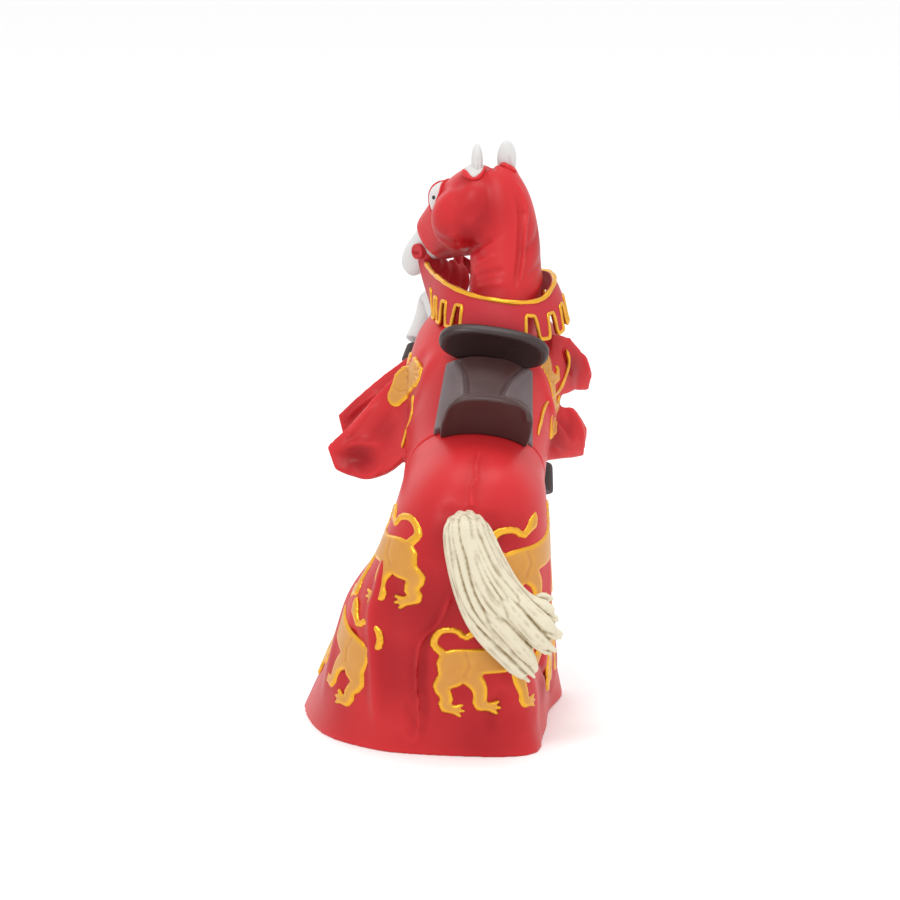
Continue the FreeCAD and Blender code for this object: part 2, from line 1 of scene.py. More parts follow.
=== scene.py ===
# %% [markdown]
# # A moulded knight's horse, rearing, in red cloth with gold lions
# The toy is a hand-painted figurine of soft moulded plastic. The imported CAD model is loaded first
# as a fixed frame: every visible piece below is shaped from it or laid on it, so that nothing has
# to be fitted afterwards. Lengths in this script are written in millimetres and turned to metres
# by MM, because Blender's own unit is the metre.

# %% Load the frame
import math
import random
import bmesh
import bpy
import numpy as np
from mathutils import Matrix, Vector
from mathutils.bvhtree import BVHTree


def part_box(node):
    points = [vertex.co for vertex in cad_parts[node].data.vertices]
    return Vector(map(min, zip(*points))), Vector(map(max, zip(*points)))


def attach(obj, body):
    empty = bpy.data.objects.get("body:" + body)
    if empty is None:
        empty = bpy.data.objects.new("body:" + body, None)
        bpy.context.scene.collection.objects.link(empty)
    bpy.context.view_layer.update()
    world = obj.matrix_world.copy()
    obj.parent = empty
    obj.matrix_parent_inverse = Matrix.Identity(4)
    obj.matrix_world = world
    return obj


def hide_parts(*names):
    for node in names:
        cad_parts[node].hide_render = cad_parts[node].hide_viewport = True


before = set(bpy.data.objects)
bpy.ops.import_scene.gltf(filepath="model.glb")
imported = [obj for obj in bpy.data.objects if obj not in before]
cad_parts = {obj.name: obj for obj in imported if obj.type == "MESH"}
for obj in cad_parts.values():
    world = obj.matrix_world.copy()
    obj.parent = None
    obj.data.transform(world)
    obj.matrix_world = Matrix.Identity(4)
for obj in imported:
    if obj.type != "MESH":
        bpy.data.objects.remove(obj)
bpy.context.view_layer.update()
MM = 0.001
print("CAD nodes:", len(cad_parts))

# %% [markdown]
# ## The camera and the modeller's views
# The figurine is seen from straight behind and a little above, through a long lens. The camera
# comes first, because the same eye points are used for modelling: a feature is drawn as a line on
# a pane that stands in the middle of the toy, and is then carried along straight rays onto its
# surface. Drawing on a view is how a sculptor marks out relief, and it needs only two numbers a
# point.

# %% Camera and eye points
TARGET = Vector((0, -5.67 * MM, 66 * MM))
TILT = math.radians(12)
EYES = {
    "back": TARGET + Vector((0, -math.cos(TILT), math.sin(TILT))) * 0.8,
    "front": Vector((0, 0.8, 0.07)),
    "left": Vector((-0.8, 0, 0.07)),
    "right": Vector((0.8, 0, 0.07)),
}
camera = bpy.data.objects.new("camera", bpy.data.cameras.new("camera"))
bpy.context.scene.collection.objects.link(camera)
camera.location = EYES["back"]
camera.rotation_euler = (TARGET - EYES["back"]).to_track_quat("-Z", "Y").to_euler()
camera.data.lens = 128
camera.data.sensor_width = 36
camera.data.clip_start = 0.05
bpy.context.scene.camera = camera
print("camera stands at", [round(v, 3) for v in camera.location])

# %% [markdown]
# ## Smooth lines
# Folds, seams, hair and piping all follow curves. A Catmull-Rom curve runs through every point it
# is given, so a few drawn points are enough, and it is cut into even steps.

# %% A smooth line through a few points
def smooth_line(points, step=0.3 * MM):
    """Even steps along a curve that runs through the points."""
    p = np.array(points, float)
    p = np.vstack([2 * p[0] - p[1], p, 2 * p[-1] - p[-2]])
    t = np.linspace(0, 1, 24, endpoint=False)[:, None]
    runs = []
    for a, b, c, d in zip(p, p[1:], p[2:], p[3:]):
        runs.append(0.5 * (2 * b + (c - a) * t + (2 * a - 5 * b + 4 * c - d) * t ** 2
                           + (3 * b - a - 3 * c + d) * t ** 3))
    line = np.vstack(runs + [p[-2:-1]])
    gone = np.r_[0, np.cumsum(np.linalg.norm(np.diff(line, axis=0), axis=1))]
    count = max(2, int(gone[-1] / step) + 1)
    even = np.linspace(0, gone[-1], count)
    return np.stack([np.interp(even, gone, line[:, k]) for k in range(line.shape[1])], 1)


print("a test line has", len(smooth_line([(0, 0, 0), (0.01, 0, 0), (0.01, 0.01, 0)])), "steps")

# %% [markdown]
# ## Clay blanks
# A toy maker sculpts the master in clay over an armature. Here the CAD solids are the armature:
# their meshes are copied, a voxel remesh joins them under one even skin, and smoothing softens the
# edges. An even skin of small faces is what the later relief needs, since it can be pushed
# anywhere.

# %% Making meshes and blanks
def make(name, verts, faces):
    """A smooth-shaded mesh piece from plain lists, linked to the scene."""
    mesh = bpy.data.meshes.new(name)
    mesh.from_pydata([tuple(v) for v in verts], [], [tuple(f) for f in faces])
    mesh.validate()
    mesh.shade_smooth()
    piece = bpy.data.objects.new(name, mesh)
    bpy.context.scene.collection.objects.link(piece)
    return piece


def grain(piece):
    """The places of a piece's vertices, as rows of numbers."""
    co = np.empty(len(piece.data.vertices) * 3)
    piece.data.vertices.foreach_get("co", co)
    return co.reshape(-1, 3)


def press(piece, co):
    """Puts the vertices of a piece at new places."""
    piece.data.vertices.foreach_set("co", co.ravel())
    piece.data.update()


def outward(piece):
    """The direction that each vertex of a piece faces."""
    no = np.empty(len(piece.data.vertices) * 3, np.float32)
    piece.data.vertex_normals.foreach_get("vector", no)
    return no.reshape(-1, 3).astype(float)


def bake_modifiers(piece):
    """Turns a piece's modifiers into its mesh."""
    ready = piece.evaluated_get(bpy.context.evaluated_depsgraph_get())
    mesh = bpy.data.meshes.new_from_object(ready)
    piece.modifiers.clear()
    piece.data = mesh
    mesh.shade_smooth()
    return piece


def skin_over(piece, voxel, rounds):
    """Voxel remesh and smoothing, both applied."""
    remesh = piece.modifiers.new("skin", "REMESH")
    remesh.mode = "VOXEL"
    remesh.voxel_size = voxel * MM
    bake_modifiers(piece)
    soften(piece, rounds)
    return piece


def soften(piece, rounds, factor=0.5):
    """Smoothing that moves each vertex towards the mean of its neighbours."""
    co = grain(piece)
    edges = edge_pairs(piece)
    for _ in range(rounds):
        co += (neighbour_mean(co, edges) - co) * factor
    press(piece, co)


def edge_pairs(piece):
    """The two vertices of every edge."""
    edges = np.empty(len(piece.data.edges) * 2, int)
    piece.data.edges.foreach_get("vertices", edges)
    return edges.reshape(-1, 2)


def neighbour_mean(values, edges):
    """For each vertex, the mean of the values next to it."""
    count = len(values)
    a, b = edges.T
    ties = np.bincount(a, minlength=count) + np.bincount(b, minlength=count)
    total = [np.bincount(a, values[b, k], count) + np.bincount(b, values[a, k], count)
             for k in range(values.shape[1])]
    return np.stack(total, 1) / np.maximum(ties, 1)[:, None]


def clay_blank(name, nodes, voxel, rounds, padding=0.0, extra=()):
    """Copies of CAD nodes, padded out in mm, and other (vertices, faces), under one skin."""
    verts, faces = [], []
    for node in nodes:
        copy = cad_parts[node].data
        start = len(verts)
        verts += [v.co + v.normal * (padding * MM) for v in copy.vertices]
        faces += [[start + i for i in f.vertices] for f in copy.polygons]
    for more_verts, more_faces in extra:
        start = len(verts)
        verts += [Vector(v) for v in more_verts]
        faces += [[start + i for i in f] for f in more_faces]
    return skin_over(make(name, verts, faces), voxel, rounds)


# %% [markdown]
# ## Relief
# A fold, a seam or a wrinkle is a long bump or dent with a bell-shaped section. The line is traced
# onto the piece from one of the views, and every vertex near it moves along its own normal by an
# amount that falls off with distance. Vertices that face away, such as the lining behind the
# cloth, stay where they are.

# %% Tracing and embossing
def pane_point(view, a, b):
    """A point on the pane through the middle of the toy, in mm across and up."""
    return Vector((0, a, b)) * MM if view in ("left", "right") else Vector((a, 0, b)) * MM


def trace(target, view, points, step=0.3 * MM):
    """Where a line drawn on a view lands on a surface: places and normals."""
    eye = EYES[view]
    places, normals = [], []
    for a, b in smooth_line(np.array(points, float) * MM, step) / MM:
        hit, normal, _, _ = target.ray_cast(eye, (pane_point(view, a, b) - eye).normalized())
        if hit:
            places.append(hit)
            normals.append(normal if normal.dot(hit - eye) < 0 else -normal)
    return np.array(places), np.array(normals)


def surface_of(piece):
    """A copy of a piece's skin that rays can be cast at."""
    return BVHTree.FromPolygons([v.co for v in piece.data.vertices],
                                [tuple(f.vertices) for f in piece.data.polygons])


def emboss(piece, target, view, points, height, width, taper=0.25, knots=0):
    """Raises (or sinks, if height is negative) a rounded ridge along a traced line, in mm."""
    line, facing = trace(target, view, points)
    if len(line) < 2:
        print("line missed", piece.name, view, points[0])
        return
    co, no = grain(piece), outward(piece)
    reach = 2.6 * width * MM
    near = np.flatnonzero(np.all((co > line.min(0) - reach) & (co < line.max(0) + reach), axis=1))
    share = np.linspace(0, 1, len(line))
    fade = np.clip(np.minimum(share, 1 - share) / taper, 0, 1) if taper else np.ones(len(line))
    fade = fade * fade * (3 - 2 * fade)
    if knots:
        fade = fade * (0.65 + 0.35 * np.cos(share * knots * math.tau))
    for start in range(0, len(near), 6000):
        some = near[start:start + 6000]
        gap = np.linalg.norm(co[some, None] - line[None], axis=2)
        at = gap.argmin(1)
        push = height * MM * np.exp(-(gap.min(1) / (width * MM)) ** 2) * fade[at]
        push *= np.clip((no[some] * facing[at]).sum(1) * 2, 0, 1)
        co[some] += no[some] * push[:, None]
    press(piece, co)


def swell(piece, target, view, point, height, width):
    """A broad rounded rise or dip about one traced point."""
    a, b = point
    emboss(piece, target, view, [(a - 0.3, b), (a + 0.3, b)], height, width, taper=0.0)


# %% [markdown]
# ## The rear cloth
# The biggest piece is the caparison over the rump, which hangs to the floor. The real one is a
# thin plastic shell that imitates heavy satin: a raised seam wanders down the middle, a sharp
# fold stands on the left where the cloth turns the corner, and soft folds fan out to the hem.
# A cloth simulation would give folds of its own choosing; these folds have known places, so they
# are embossed.

# %% Rear cloth
rear_cloth = clay_blank("rear_cloth", ["rear_caparison"], 0.42, 5)
rear_skin = surface_of(rear_cloth)
REAR_FOLDS = [                  # view, line in mm, height, width, and how much of it fades at the ends
    ("back", [(-15.5, 43), (-18, 29.5), (-20, 21.5), (-19.4, 8), (-19, -4), (-18, -12)], 1.0, 1.7),
    ("back", [(-13.5, 38), (-14.5, 26), (-15.5, 12), (-14.5, -4)], -0.7, 3.0),
    ("back", [(-24, 20), (-26, 8), (-27, -3)], -0.5, 3.2),
    ("back", [(7.6, 65), (6.7, 60.5), (6.7, 57.5), (5.5, 55), (5.2, 50)], 0.75, 0.6, 0.05),
    ("back", [(8, 66), (6, 57), (5.5, 50)], -0.6, 3.4),
    ("back", [(0.5, 28), (-2.5, 20.5), (-7.5, 14), (-8.5, 4.5), (-8, -2), (-8.4, -13)], 0.75, 0.55, 0.1),
    ("back", [(-1.6, 25), (-6, 14.5), (-7, 4.5), (-6.4, -2), (-6.8, -12)], -0.5, 1.2),
    ("back", [(-8, 12), (-8.5, 0), (-8, -8)], -0.3, 3.5),
    ("back", [(22, 15), (24, 7.5), (26.2, 1)], -1.2, 1.6),
    ("back", [(19.5, 10), (22, 0), (21.5, -8)], 0.5, 2.2),
    ("back", [(15, 3), (10.5, -5), (12, -11.5)], -0.55, 1.9),
    ("back", [(-12, -0.5), (-9.5, -6.5), (-6.5, -10)], -0.35, 1.1),
    ("back", [(-13.5, -6), (-11, -11), (-7, -12)], 0.3, 1.0),
    ("back", [(-1, 52), (0, 46), (-1.5, 38)], -0.4, 3.0),
    ("back", [(10, 50), (11.5, 44), (13, 38)], -0.4, 2.6),
    ("left", [(-20, 52), (-23, 34), (-26, 16), (-29, 2)], 0.7, 3.0),
    ("left", [(-12, 50), (-13, 30), (-13.5, 12), (-14, 1)], -0.7, 3.2),
    ("left", [(-4, 40), (-3, 24), (-3, 10), (-4, 1)], 0.6, 2.8),
    ("left", [(-34, 40), (-36, 22), (-37, 6)], -0.5, 2.6),
    ("right", [(-30, 52), (-32, 34), (-33, 14), (-34, 2)], 0.6, 2.6),
    ("right", [(-20, 50), (-20, 30), (-21, 12), (-22, 2)], -0.8, 3.0),
    ("right", [(-11, 46), (-10, 28), (-9, 12), (-9, 1)], 0.7, 2.8),
    ("right", [(-2, 36), (0, 20), (1, 6)], -0.6, 2.4),
    ("front", [(10, 26), (12, 14), (12, 2)], 0.6, 2.4),
    ("front", [(-4, 26), (-4, 14), (-6, 2)], -0.6, 2.6),
    ("front", [(-18, 28), (-20, 14), (-22, 2)], 0.7, 2.6),
    ("front", [(20, 30), (24, 16), (26, 3)], -0.5, 2.2),
]
for view, line, *shape in REAR_FOLDS:
    emboss(rear_cloth, rear_skin, view, line, *shape)
for spot, height, width in (((-3, 56), 0.5, 7), ((15, 57), 0.5, 6), ((5.5, 46), -0.9, 4.5)):
    swell(rear_cloth, rear_skin, "back", spot, height, width)
print("rear cloth:", len(rear_cloth.data.vertices), "vertices")

# %% [markdown]
# ## The front cloth and its flying corners
# The front half of the caparison lies over the shoulders, and its corners fly out as the horse
# rears. On the toy they are one moulding, so the CAD shell and its four flying corners go under
# one skin, which fillets the places where they join.

# %% Front cloth
FLYING = ["left_shoulder_drape", "left_front_drape", "right_shoulder_drape", "right_front_drape"]
front_cloth = clay_blank("front_cloth", ["front_caparison"] + FLYING, 0.4, 6, padding=0.12)
front_skin = surface_of(front_cloth)
FRONT_FOLDS = [
    ("back", [(-17, 79), (-24, 71), (-30.5, 63)], 0.5, 1.2),
    ("back", [(-30, 64.2), (-23, 66.2), (-15.5, 65.5)], 0.9, 1.1, 0.4),
    ("back", [(-29, 62.6), (-22.5, 62.6), (-16, 62.0)], -1.1, 2.2, 0.5),
    ("back", [(-14, 76), (-17, 72), (-22, 66)], -0.45, 1.8),
    ("back", [(-9.5, 78), (-11, 70), (-12, 64)], -0.3, 1.0),
    ("back", [(24, 80), (26, 74), (28, 69)], 0.5, 1.3),
    ("back", [(27, 80), (30, 74), (31, 69)], -0.4, 1.4),
    ("back", [(-6, 92), (-8, 84), (-8, 74)], -0.4, 2.4),
    ("back", [(27, 77), (30.2, 75.3), (32.2, 72.4), (33.2, 69.5), (33.6, 66)], 0.6, 0.9),
    ("back", [(34, 64), (31.5, 63.8), (28, 64), (25.2, 66)], 0.5, 0.9),
    ("back", [(26.5, 73.5), (29.5, 71), (31.5, 67)], -0.7, 1.4),
    ("back", [(28, 92), (29.2, 88), (30.5, 83)], -0.6, 0.8),
    ("back", [(29, 93.4), (31.6, 92), (33.8, 88.2), (35, 84)], 0.5, 0.9),
    ("back", [(-17.5, 80), (-23, 76), (-27, 72)], 0.5, 0.9),
    ("back", [(-26, 61), (-22.5, 58), (-19, 58.4), (-17, 62)], 0.5, 0.9),
    ("left", [(10, 90), (4, 78), (2, 64)], 0.5, 2.2),
    ("left", [(24, 84), (18, 72), (14, 62)], -0.5, 2.2),
    ("right", [(12, 92), (6, 80), (4, 66)], 0.5, 2.2),
    ("right", [(26, 84), (22, 74), (20, 66)], -0.4, 2.2),
    ("front", [(8, 92), (7, 80), (7, 66)], 0.5, 1.0),
    ("front", [(0, 88), (-2, 76), (-2, 66)], -0.5, 2.4),
    ("front", [(16, 88), (18, 76), (18, 66)], -0.5, 2.4),
]
for view, line, *shape in FRONT_FOLDS:
    emboss(front_cloth, front_skin, view, line, *shape)
print("front cloth:", len(front_cloth.data.vertices), "vertices")

# %% [markdown]
# ## Neck and hood
# The neck and the head share one close-fitting hood. The throat has stretch wrinkles, a raised
# seam runs down the crest, and the hood's edge is scalloped round the ears. The CAD keeps the neck
# and the hood apart, so egg-shaped lumps join them inside before the skin goes on. A few more fill
# out the places behind the eyes and the roots of the ears.

# %% Lumps that join the neck and the hood
def lump(centre, radii, rows=12, columns=20):
    """A closed egg shape for a blank, as (vertices, faces)."""
    verts = []
    for i in range(rows + 1):
        for j in range(columns):
            up, round_ = math.pi * i / rows, math.tau * j / columns
            verts.append((centre[0] + radii[0] * math.sin(up) * math.cos(round_),
                          centre[1] + radii[1] * math.sin(up) * math.sin(round_),
                          centre[2] + radii[2] * math.cos(up)))
    faces = [[i * columns + j, i * columns + (j + 1) % columns, (i + 1) * columns + (j + 1) % columns,
              (i + 1) * columns + j] for i in range(rows) for j in range(columns)]
    return [Vector(v) * MM for v in verts], faces


POLL = np.array((9.3, 24.9, 128.6))             # where the head's axis starts, in mm
HEAD_AIM = np.array((-0.53, 0.55, -0.645))      # which way the nose points
HEAD_UP = np.array((-0.448, 0.464, 0.764))
plugs = [lump(POLL + HEAD_AIM * ahead + HEAD_UP * rise, (r, r, r)) for ahead, rise, r in
         ((3, -1.0, 5.6), (8, -2.0, 6.8), (12, -2.4, 6.9), (16, -2.0, 6.2), (20, -1.0, 4.6))]
plugs += [lump((2.4, 24.6, 120.0), (7.4, 6.6, 8.4)), lump((6.5, 22.5, 121.5), (6.5, 5.5, 9.0)),
          lump((-2.2, 31.0, 124.6), (3.4, 3.4, 4.6)), lump((4.6, 37.0, 124.6), (3.4, 3.4, 4.6)),
          lump((6.4, 25.6, 130.6), (3.8, 3.4, 3.6)), lump((14.2, 27.0, 130.8), (3.4, 3.2, 3.6))]
neck_cloth = clay_blank("neck_cloth", ["neck_hood", "head_hood"], 0.34, 40, padding=0.2, extra=plugs)
neck_skin = surface_of(neck_cloth)
print("neck and hood:", len(neck_cloth.data.vertices), "vertices")

# %% Seam, wrinkles and scallops
NECK_FOLDS = [
    ("back", [(15.2, 134), (17.5, 130.5), (18.8, 125.5), (18.5, 119.5), (18, 112.5), (16.6, 104)], 0.8, 0.5),
    ("back", [(14, 133), (16.2, 129), (17.4, 124.6), (17.2, 115.5), (16.4, 108), (15.4, 103)], -0.5, 0.8),
    ("back", [(16.6, 125.6), (17.6, 125), (19.6, 124.8)], -0.3, 0.5),
    ("back", [(1.5, 113), (6, 115.8), (11, 119)], -0.45, 0.9),
    ("back", [(3, 110.5), (7, 112.5), (11.5, 114.5)], 0.3, 0.8),
    ("back", [(5.5, 108.5), (9, 110), (14, 110.8)], -0.35, 0.8),
    ("back", [(6, 106), (10, 107), (14.5, 107.2)], 0.25, 0.8),
    ("back", [(6, 124), (9, 121), (11, 117)], -0.5, 2.4),
    ("back", [(-1, 131), (1, 127.5), (3, 124)], 0.35, 2.4),
    ("back", [(0, 121), (3, 117.5), (5, 116)], 0.4, 2.0),
    ("left", [(24, 118), (18, 113), (13, 110)], -0.4, 1.2),
    ("left", [(24, 112), (18, 108), (13, 105)], 0.35, 1.2),
    ("right", [(24, 120), (18, 116), (12, 112)], -0.4, 1.2),
    ("right", [(25, 113), (18, 110), (12, 107)], -0.35, 1.2),
    ("right", [(26, 108), (18, 105), (12, 103)], 0.35, 1.2),
    ("front", [(6, 116), (12, 113), (18, 114)], -0.35, 1.0),
    ("front", [(6, 111), (12, 108), (18, 109)], -0.35, 1.0),
]
for view, line, height, width in NECK_FOLDS:
    emboss(neck_cloth, neck_skin, view, line, height, width)
emboss(neck_cloth, neck_skin, "back", [(9, 134.2), (11, 135.6), (13.5, 136)], 1.0, 0.9, 0.2, knots=3)
print("hood relief done")

# %% [markdown]
# ## Ears, muzzle, eye
# The ears and the muzzle show white where the hood leaves them free. An ear is a leaf folded
# along its middle, so an egg shape gets a hollow down the front and a shallow one down the back. The eye is an
# almond of white paint in a hole of the hood, with a small black pupil.

# %% Ears and muzzle
ears = {}
for side, centre, radii in (("left", (6.9, 25.2, 134.7), (1.5, 2.5, 4.6)),
                            ("right", (14.5, 27.2, 135.0), (2.5, 1.5, 4.9))):
    ear = clay_blank(side + "_leaf_ear", [], 0.2, 2, extra=[lump(centre, radii, 24, 32)])
    ear_skin = surface_of(ear)
    a, b = centre[0] * 1.03, centre[2]
    emboss(ear, ear_skin, "front", [(a, b - 3.5), (a, b), (a, b + 3)], -0.7, 0.9)
    emboss(ear, ear_skin, "back", [(centre[0], b - 1), (centre[0] + 0.2, b + 2), (centre[0], b + 4.5)],
           -0.3, 0.5)
    ears[side] = ear
HOOD_EDGE, TUCK = 24.5, 1.4     # where the hood ends along the head, and how far the muzzle goes in there
muzzle = clay_blank("white_muzzle", ["head"], 0.3, 4)
co = grain(muzzle)
under_hood = np.clip((HOOD_EDGE - (co / MM - POLL) @ HEAD_AIM) / 1.5, 0, 1)
press(muzzle, co - outward(muzzle) * (under_hood * TUCK * MM)[:, None])
muzzle_skin = surface_of(muzzle)
for view, line, height, width in (
        ("left", [(36, 107.5), (38, 106), (39.5, 106.5)], -1.0, 0.8),
        ("right", [(38, 107.5), (40, 106), (41.5, 106.5)], -1.0, 0.8),
        ("left", [(30, 104.5), (34, 103.4), (39, 102.6)], -0.5, 0.5),
        ("left", [(30, 112), (34, 110), (37, 108.5)], 0.35, 1.0)):
    emboss(muzzle, muzzle_skin, view, line, height, width)
print("ears and muzzle:", len(muzzle.data.vertices), "vertices")

# %% [markdown]
# ## Appliques: raised shapes cut from a drawing
# The gold lions, the eye and its pupil are low raised shapes with a crisp outline. Each is
# described by a signed distance: a function that is negative inside the shape and zero on its
# outline. A grid is laid over the drawing, the points next to the outline are moved exactly onto
# it, and every point is then carried along its own ray onto the cloth. Rising height inside the
# outline gives the rounded edge of moulded relief.

# %% Laying a drawing on a surface
def smooth_rim(u, v, distance, cells, rounds=12):
    """Slides the rim of the kept cells along the drawing's outline until it runs evenly."""
    sides = np.sort(np.concatenate([cells[:, [k, (k + 1) % 4]] for k in range(4)]), 1)
    edges, uses = np.unique(sides, axis=0, return_counts=True)
    rim_edges = edges[uses == 1]
    rim = np.unique(rim_edges)
    inner = np.setdiff1d(np.unique(edges), rim)
    for _ in range(rounds):
        places = np.stack([u, v], 1)
        along, around = neighbour_mean(places, rim_edges), neighbour_mean(places, edges)
        u[rim], v[rim] = along[rim].T
        u[inner], v[inner] = (0.5 * places[inner] + 0.5 * around[inner]).T
        ru, rv = u[rim], v[rim]
        gap = distance(ru, rv)
        gu = (distance(ru + 0.02, rv) - distance(ru - 0.02, rv)) / 0.04
        gv = (distance(ru, rv + 0.02) - distance(ru, rv - 0.02)) / 0.04
        steep = np.maximum(np.hypot(gu, gv), 0.4) ** 2
        u[rim] -= np.clip(gap * gu / steep, -0.2, 0.2)
        v[rim] -= np.clip(gap * gv / steep, -0.2, 0.2)
    return u, v


def applique(name, target, distance, spread, ray, height, edge, step=0.28, sink=0.5, carve=None):
    """A closed raised patch. ray(u, v) gives the origin and direction for a point of the drawing."""
    (u0, u1), (v0, v1) = spread
    us, vs = np.arange(u0, u1, step), np.arange(v0, v1, step)
    u, v = [g.ravel().copy() for g in np.meshgrid(us, vs, indexing="ij")]
    d = distance(u, v)
    index = np.arange(len(u)).reshape(len(us), len(vs))
    cells = np.stack([index[:-1, :-1], index[1:, :-1], index[1:, 1:], index[:-1, 1:]], -1).reshape(-1, 4)
    cells = cells[(d[cells] < 0.5 * step).all(1)]
    u, v = smooth_rim(u, v, distance, cells)
    d = distance(u, v)
    share = np.clip(-d / edge, 0, 1)
    lift = height * np.sin(share * math.pi / 2) ** 0.8 - 0.05
    if carve is not None:
        lift += carve(u, v)
    tops, lows, kept = {}, {}, []
    verts = []
    for cell in cells:
        for i in cell:
            if i not in tops:
                origin, way = ray(u[i], v[i])
                hit, normal, _, _ = target.ray_cast(origin, way)
                if hit is None:
                    tops[i] = None
                    continue
                normal = normal if normal.dot(way) < 0 else -normal
                tops[i] = len(verts)
                verts.append(hit + normal * (lift[i] * MM))
                lows[i] = len(verts)
                verts.append(hit - normal * (sink * MM))
        if all(tops[i] is not None for i in cell):
            flat = [verts[tops[i]] for i in cell]
            if max((flat[0] - flat[2]).length, (flat[1] - flat[3]).length) < 12 * step * MM:
                kept.append(cell)
    faces, sides = [], {}
    for cell in kept:
        faces.append([tops[i] for i in cell])
        faces.append([lows[i] for i in reversed(cell)])
        for a, b in zip(cell, np.roll(cell, -1)):
            sides[(a, b)] = (tops[a], lows[a], lows[b], tops[b])
    faces += [list(side) for (a, b), side in sides.items() if (b, a) not in sides]
    return tidy_shell(make(name, verts, faces))


def tidy_shell(piece):
    """Drops vertices that no face uses and turns every face outward."""
    bm = bmesh.new()
    bm.from_mesh(piece.data)
    bmesh.ops.delete(bm, geom=[v for v in bm.verts if not v.link_faces], context="VERTS")
    bmesh.ops.recalc_face_normals(bm, faces=bm.faces)
    bm.to_mesh(piece.data)
    bm.free()
    piece.data.shade_smooth()
    return piece


# %% The eyes
def almond(half_long, half_high):
    """Signed distance to an almond, its corners on the u axis."""
    def distance(u, v):
        bow = half_high * np.clip(1 - (u / half_long) ** 2, 0, None)
        return np.maximum(np.abs(v) - bow, np.abs(u) - half_long) * 0.8
    return distance


def straight(centre, across, up, way):
    """Parallel rays through a drawing that stands at centre."""
    centre = Vector(centre) * MM
    across, up, way = (Vector(v).normalized() for v in (across, up, way))
    return lambda u, v: (centre + (across * u + up * v) * MM - way * 0.05, way)


EYE_LONG, EYE_HIGH = 4.1, 2.0   # half of the eye's length and height, in mm
eyes, eye_edges = [], []
for side, centre, way in (("left", (-4.3, 29.0, 125.2), (0.72, 0.69, 0.0)),
                          ("right", (6.4, 38.4, 125.2), (-0.72, -0.69, 0.0))):
    ray = straight(centre, (-0.15, 0.16, -0.97), (-0.68, 0.70, 0.22), way)
    white = applique(side + "_eye_white", neck_skin, almond(EYE_LONG, EYE_HIGH), ((-4.7, 4.7), (-3.2, 3.2)),
                     ray, 0.4, 1.2, 0.22)
    pupil = applique(side + "_pupil", surface_of(white), lambda u, v: np.hypot(u, v + 0.7) - 0.6,
                     ((-1, 1), (-2, 1)), ray, 0.3, 0.7, 0.12)
    eyes.append((white, pupil))
    eye_edges.append([ray(EYE_LONG * math.cos(a), EYE_HIGH * math.sin(a) * abs(math.sin(a)) ** 0.4)
                      for a in np.linspace(0, math.tau, 60)])
print("eyes:", [len(w.data.vertices) for w, _ in eyes])

# %% [markdown]
# ## The lions
# Gold walking lions are scattered over the cloth. The outline here is this script's own: chains
# of round-ended strokes for the body, legs, paws and tail, melted together. Each stroke is a list
# of points with a radius, which is how a brush would lay it down. A lion is about 36 mm from tail
# to paw at full size.

# %% A lion drawn with a brush
BRUSH = {
    "body": [(-9.6, 1.6, 4.9), (-4, 2.5, 3.9), (3, 3.2, 4.1), (8.2, 4.6, 5.0)],
    "haunch": [(-10.0, 1.2, 4.8), (-10.6, -2.2, 3.3)],
    "near_hind": [(-10.6, -1.8, 3.2), (-13.4, -5.2, 2.1), (-12.0, -8.4, 1.6), (-12.6, -11.0, 1.6),
                  (-10.8, -11.9, 1.4)],
    "far_hind": [(-7.0, -0.8, 3.0), (-4.4, -4.6, 2.1), (-3.9, -8.0, 1.6), (-4.2, -10.4, 1.6),
                 (-2.4, -10.9, 1.4)],
    "near_fore": [(6.8, 1.2, 3.0), (6.2, -3.8, 2.0), (7.0, -8.0, 1.5), (6.8, -10.4, 1.6), (8.6, -11.0, 1.4)],
    "raised_fore": [(10.0, 2.2, 2.7), (13.2, -0.8, 1.8), (15.8, 0.8, 1.5), (17.0, 2.4, 1.5)],
    "head": [(10.6, 9.0, 4.2), (11.8, 9.4, 3.8)],
    "snout": [(12.6, 8.4, 2.3), (15.2, 7.8, 1.8)],
    "ears": [(9.6, 13.0, 1.2), (12.8, 13.0, 1.0)],
    "tail": [(-12.6, 4.6, 1.2), (-15.4, 7.8, 1.0), (-13.6, 11.6, 0.95), (-9.4, 11.8, 0.9), (-7.2, 9.8, 0.9),
             (-4.6, 11.4, 1.0)],
    "tuft": [(-4.8, 11.2, 1.2), (-3.2, 12.4, 1.6), (-1.6, 14.4, 0.5)],
}
PAWS = [(-10.8, -11.9, -0.25), (-2.4, -10.9, -0.25), (8.6, -11.0, -0.25), (17.0, 2.4, 0.9)]
MANE = [(math.radians(40 + 32 * k), 0.9) for k in range(8)]


def brush_distance(strokes):
    """Signed distance to a set of tapering strokes, softly joined."""
    def distance(u, v):
        best = np.full(np.shape(u), 9.0)
        for points in strokes:
            for (ax, ay, ar), (bx, by, br) in zip(points, points[1:]):
                run = (bx - ax) ** 2 + (by - ay) ** 2
                t = np.clip(((u - ax) * (bx - ax) + (v - ay) * (by - ay)) / run, 0, 1)
                gap = np.hypot(u - ax - t * (bx - ax), v - ay - t * (by - ay)) - (ar + t * (br - ar))
                near = np.clip(0.5 + 0.5 * (best - gap) / 0.5, 0, 1)
                best = best * (1 - near) + gap * near - 0.5 * near * (1 - near)
        return best
    return distance


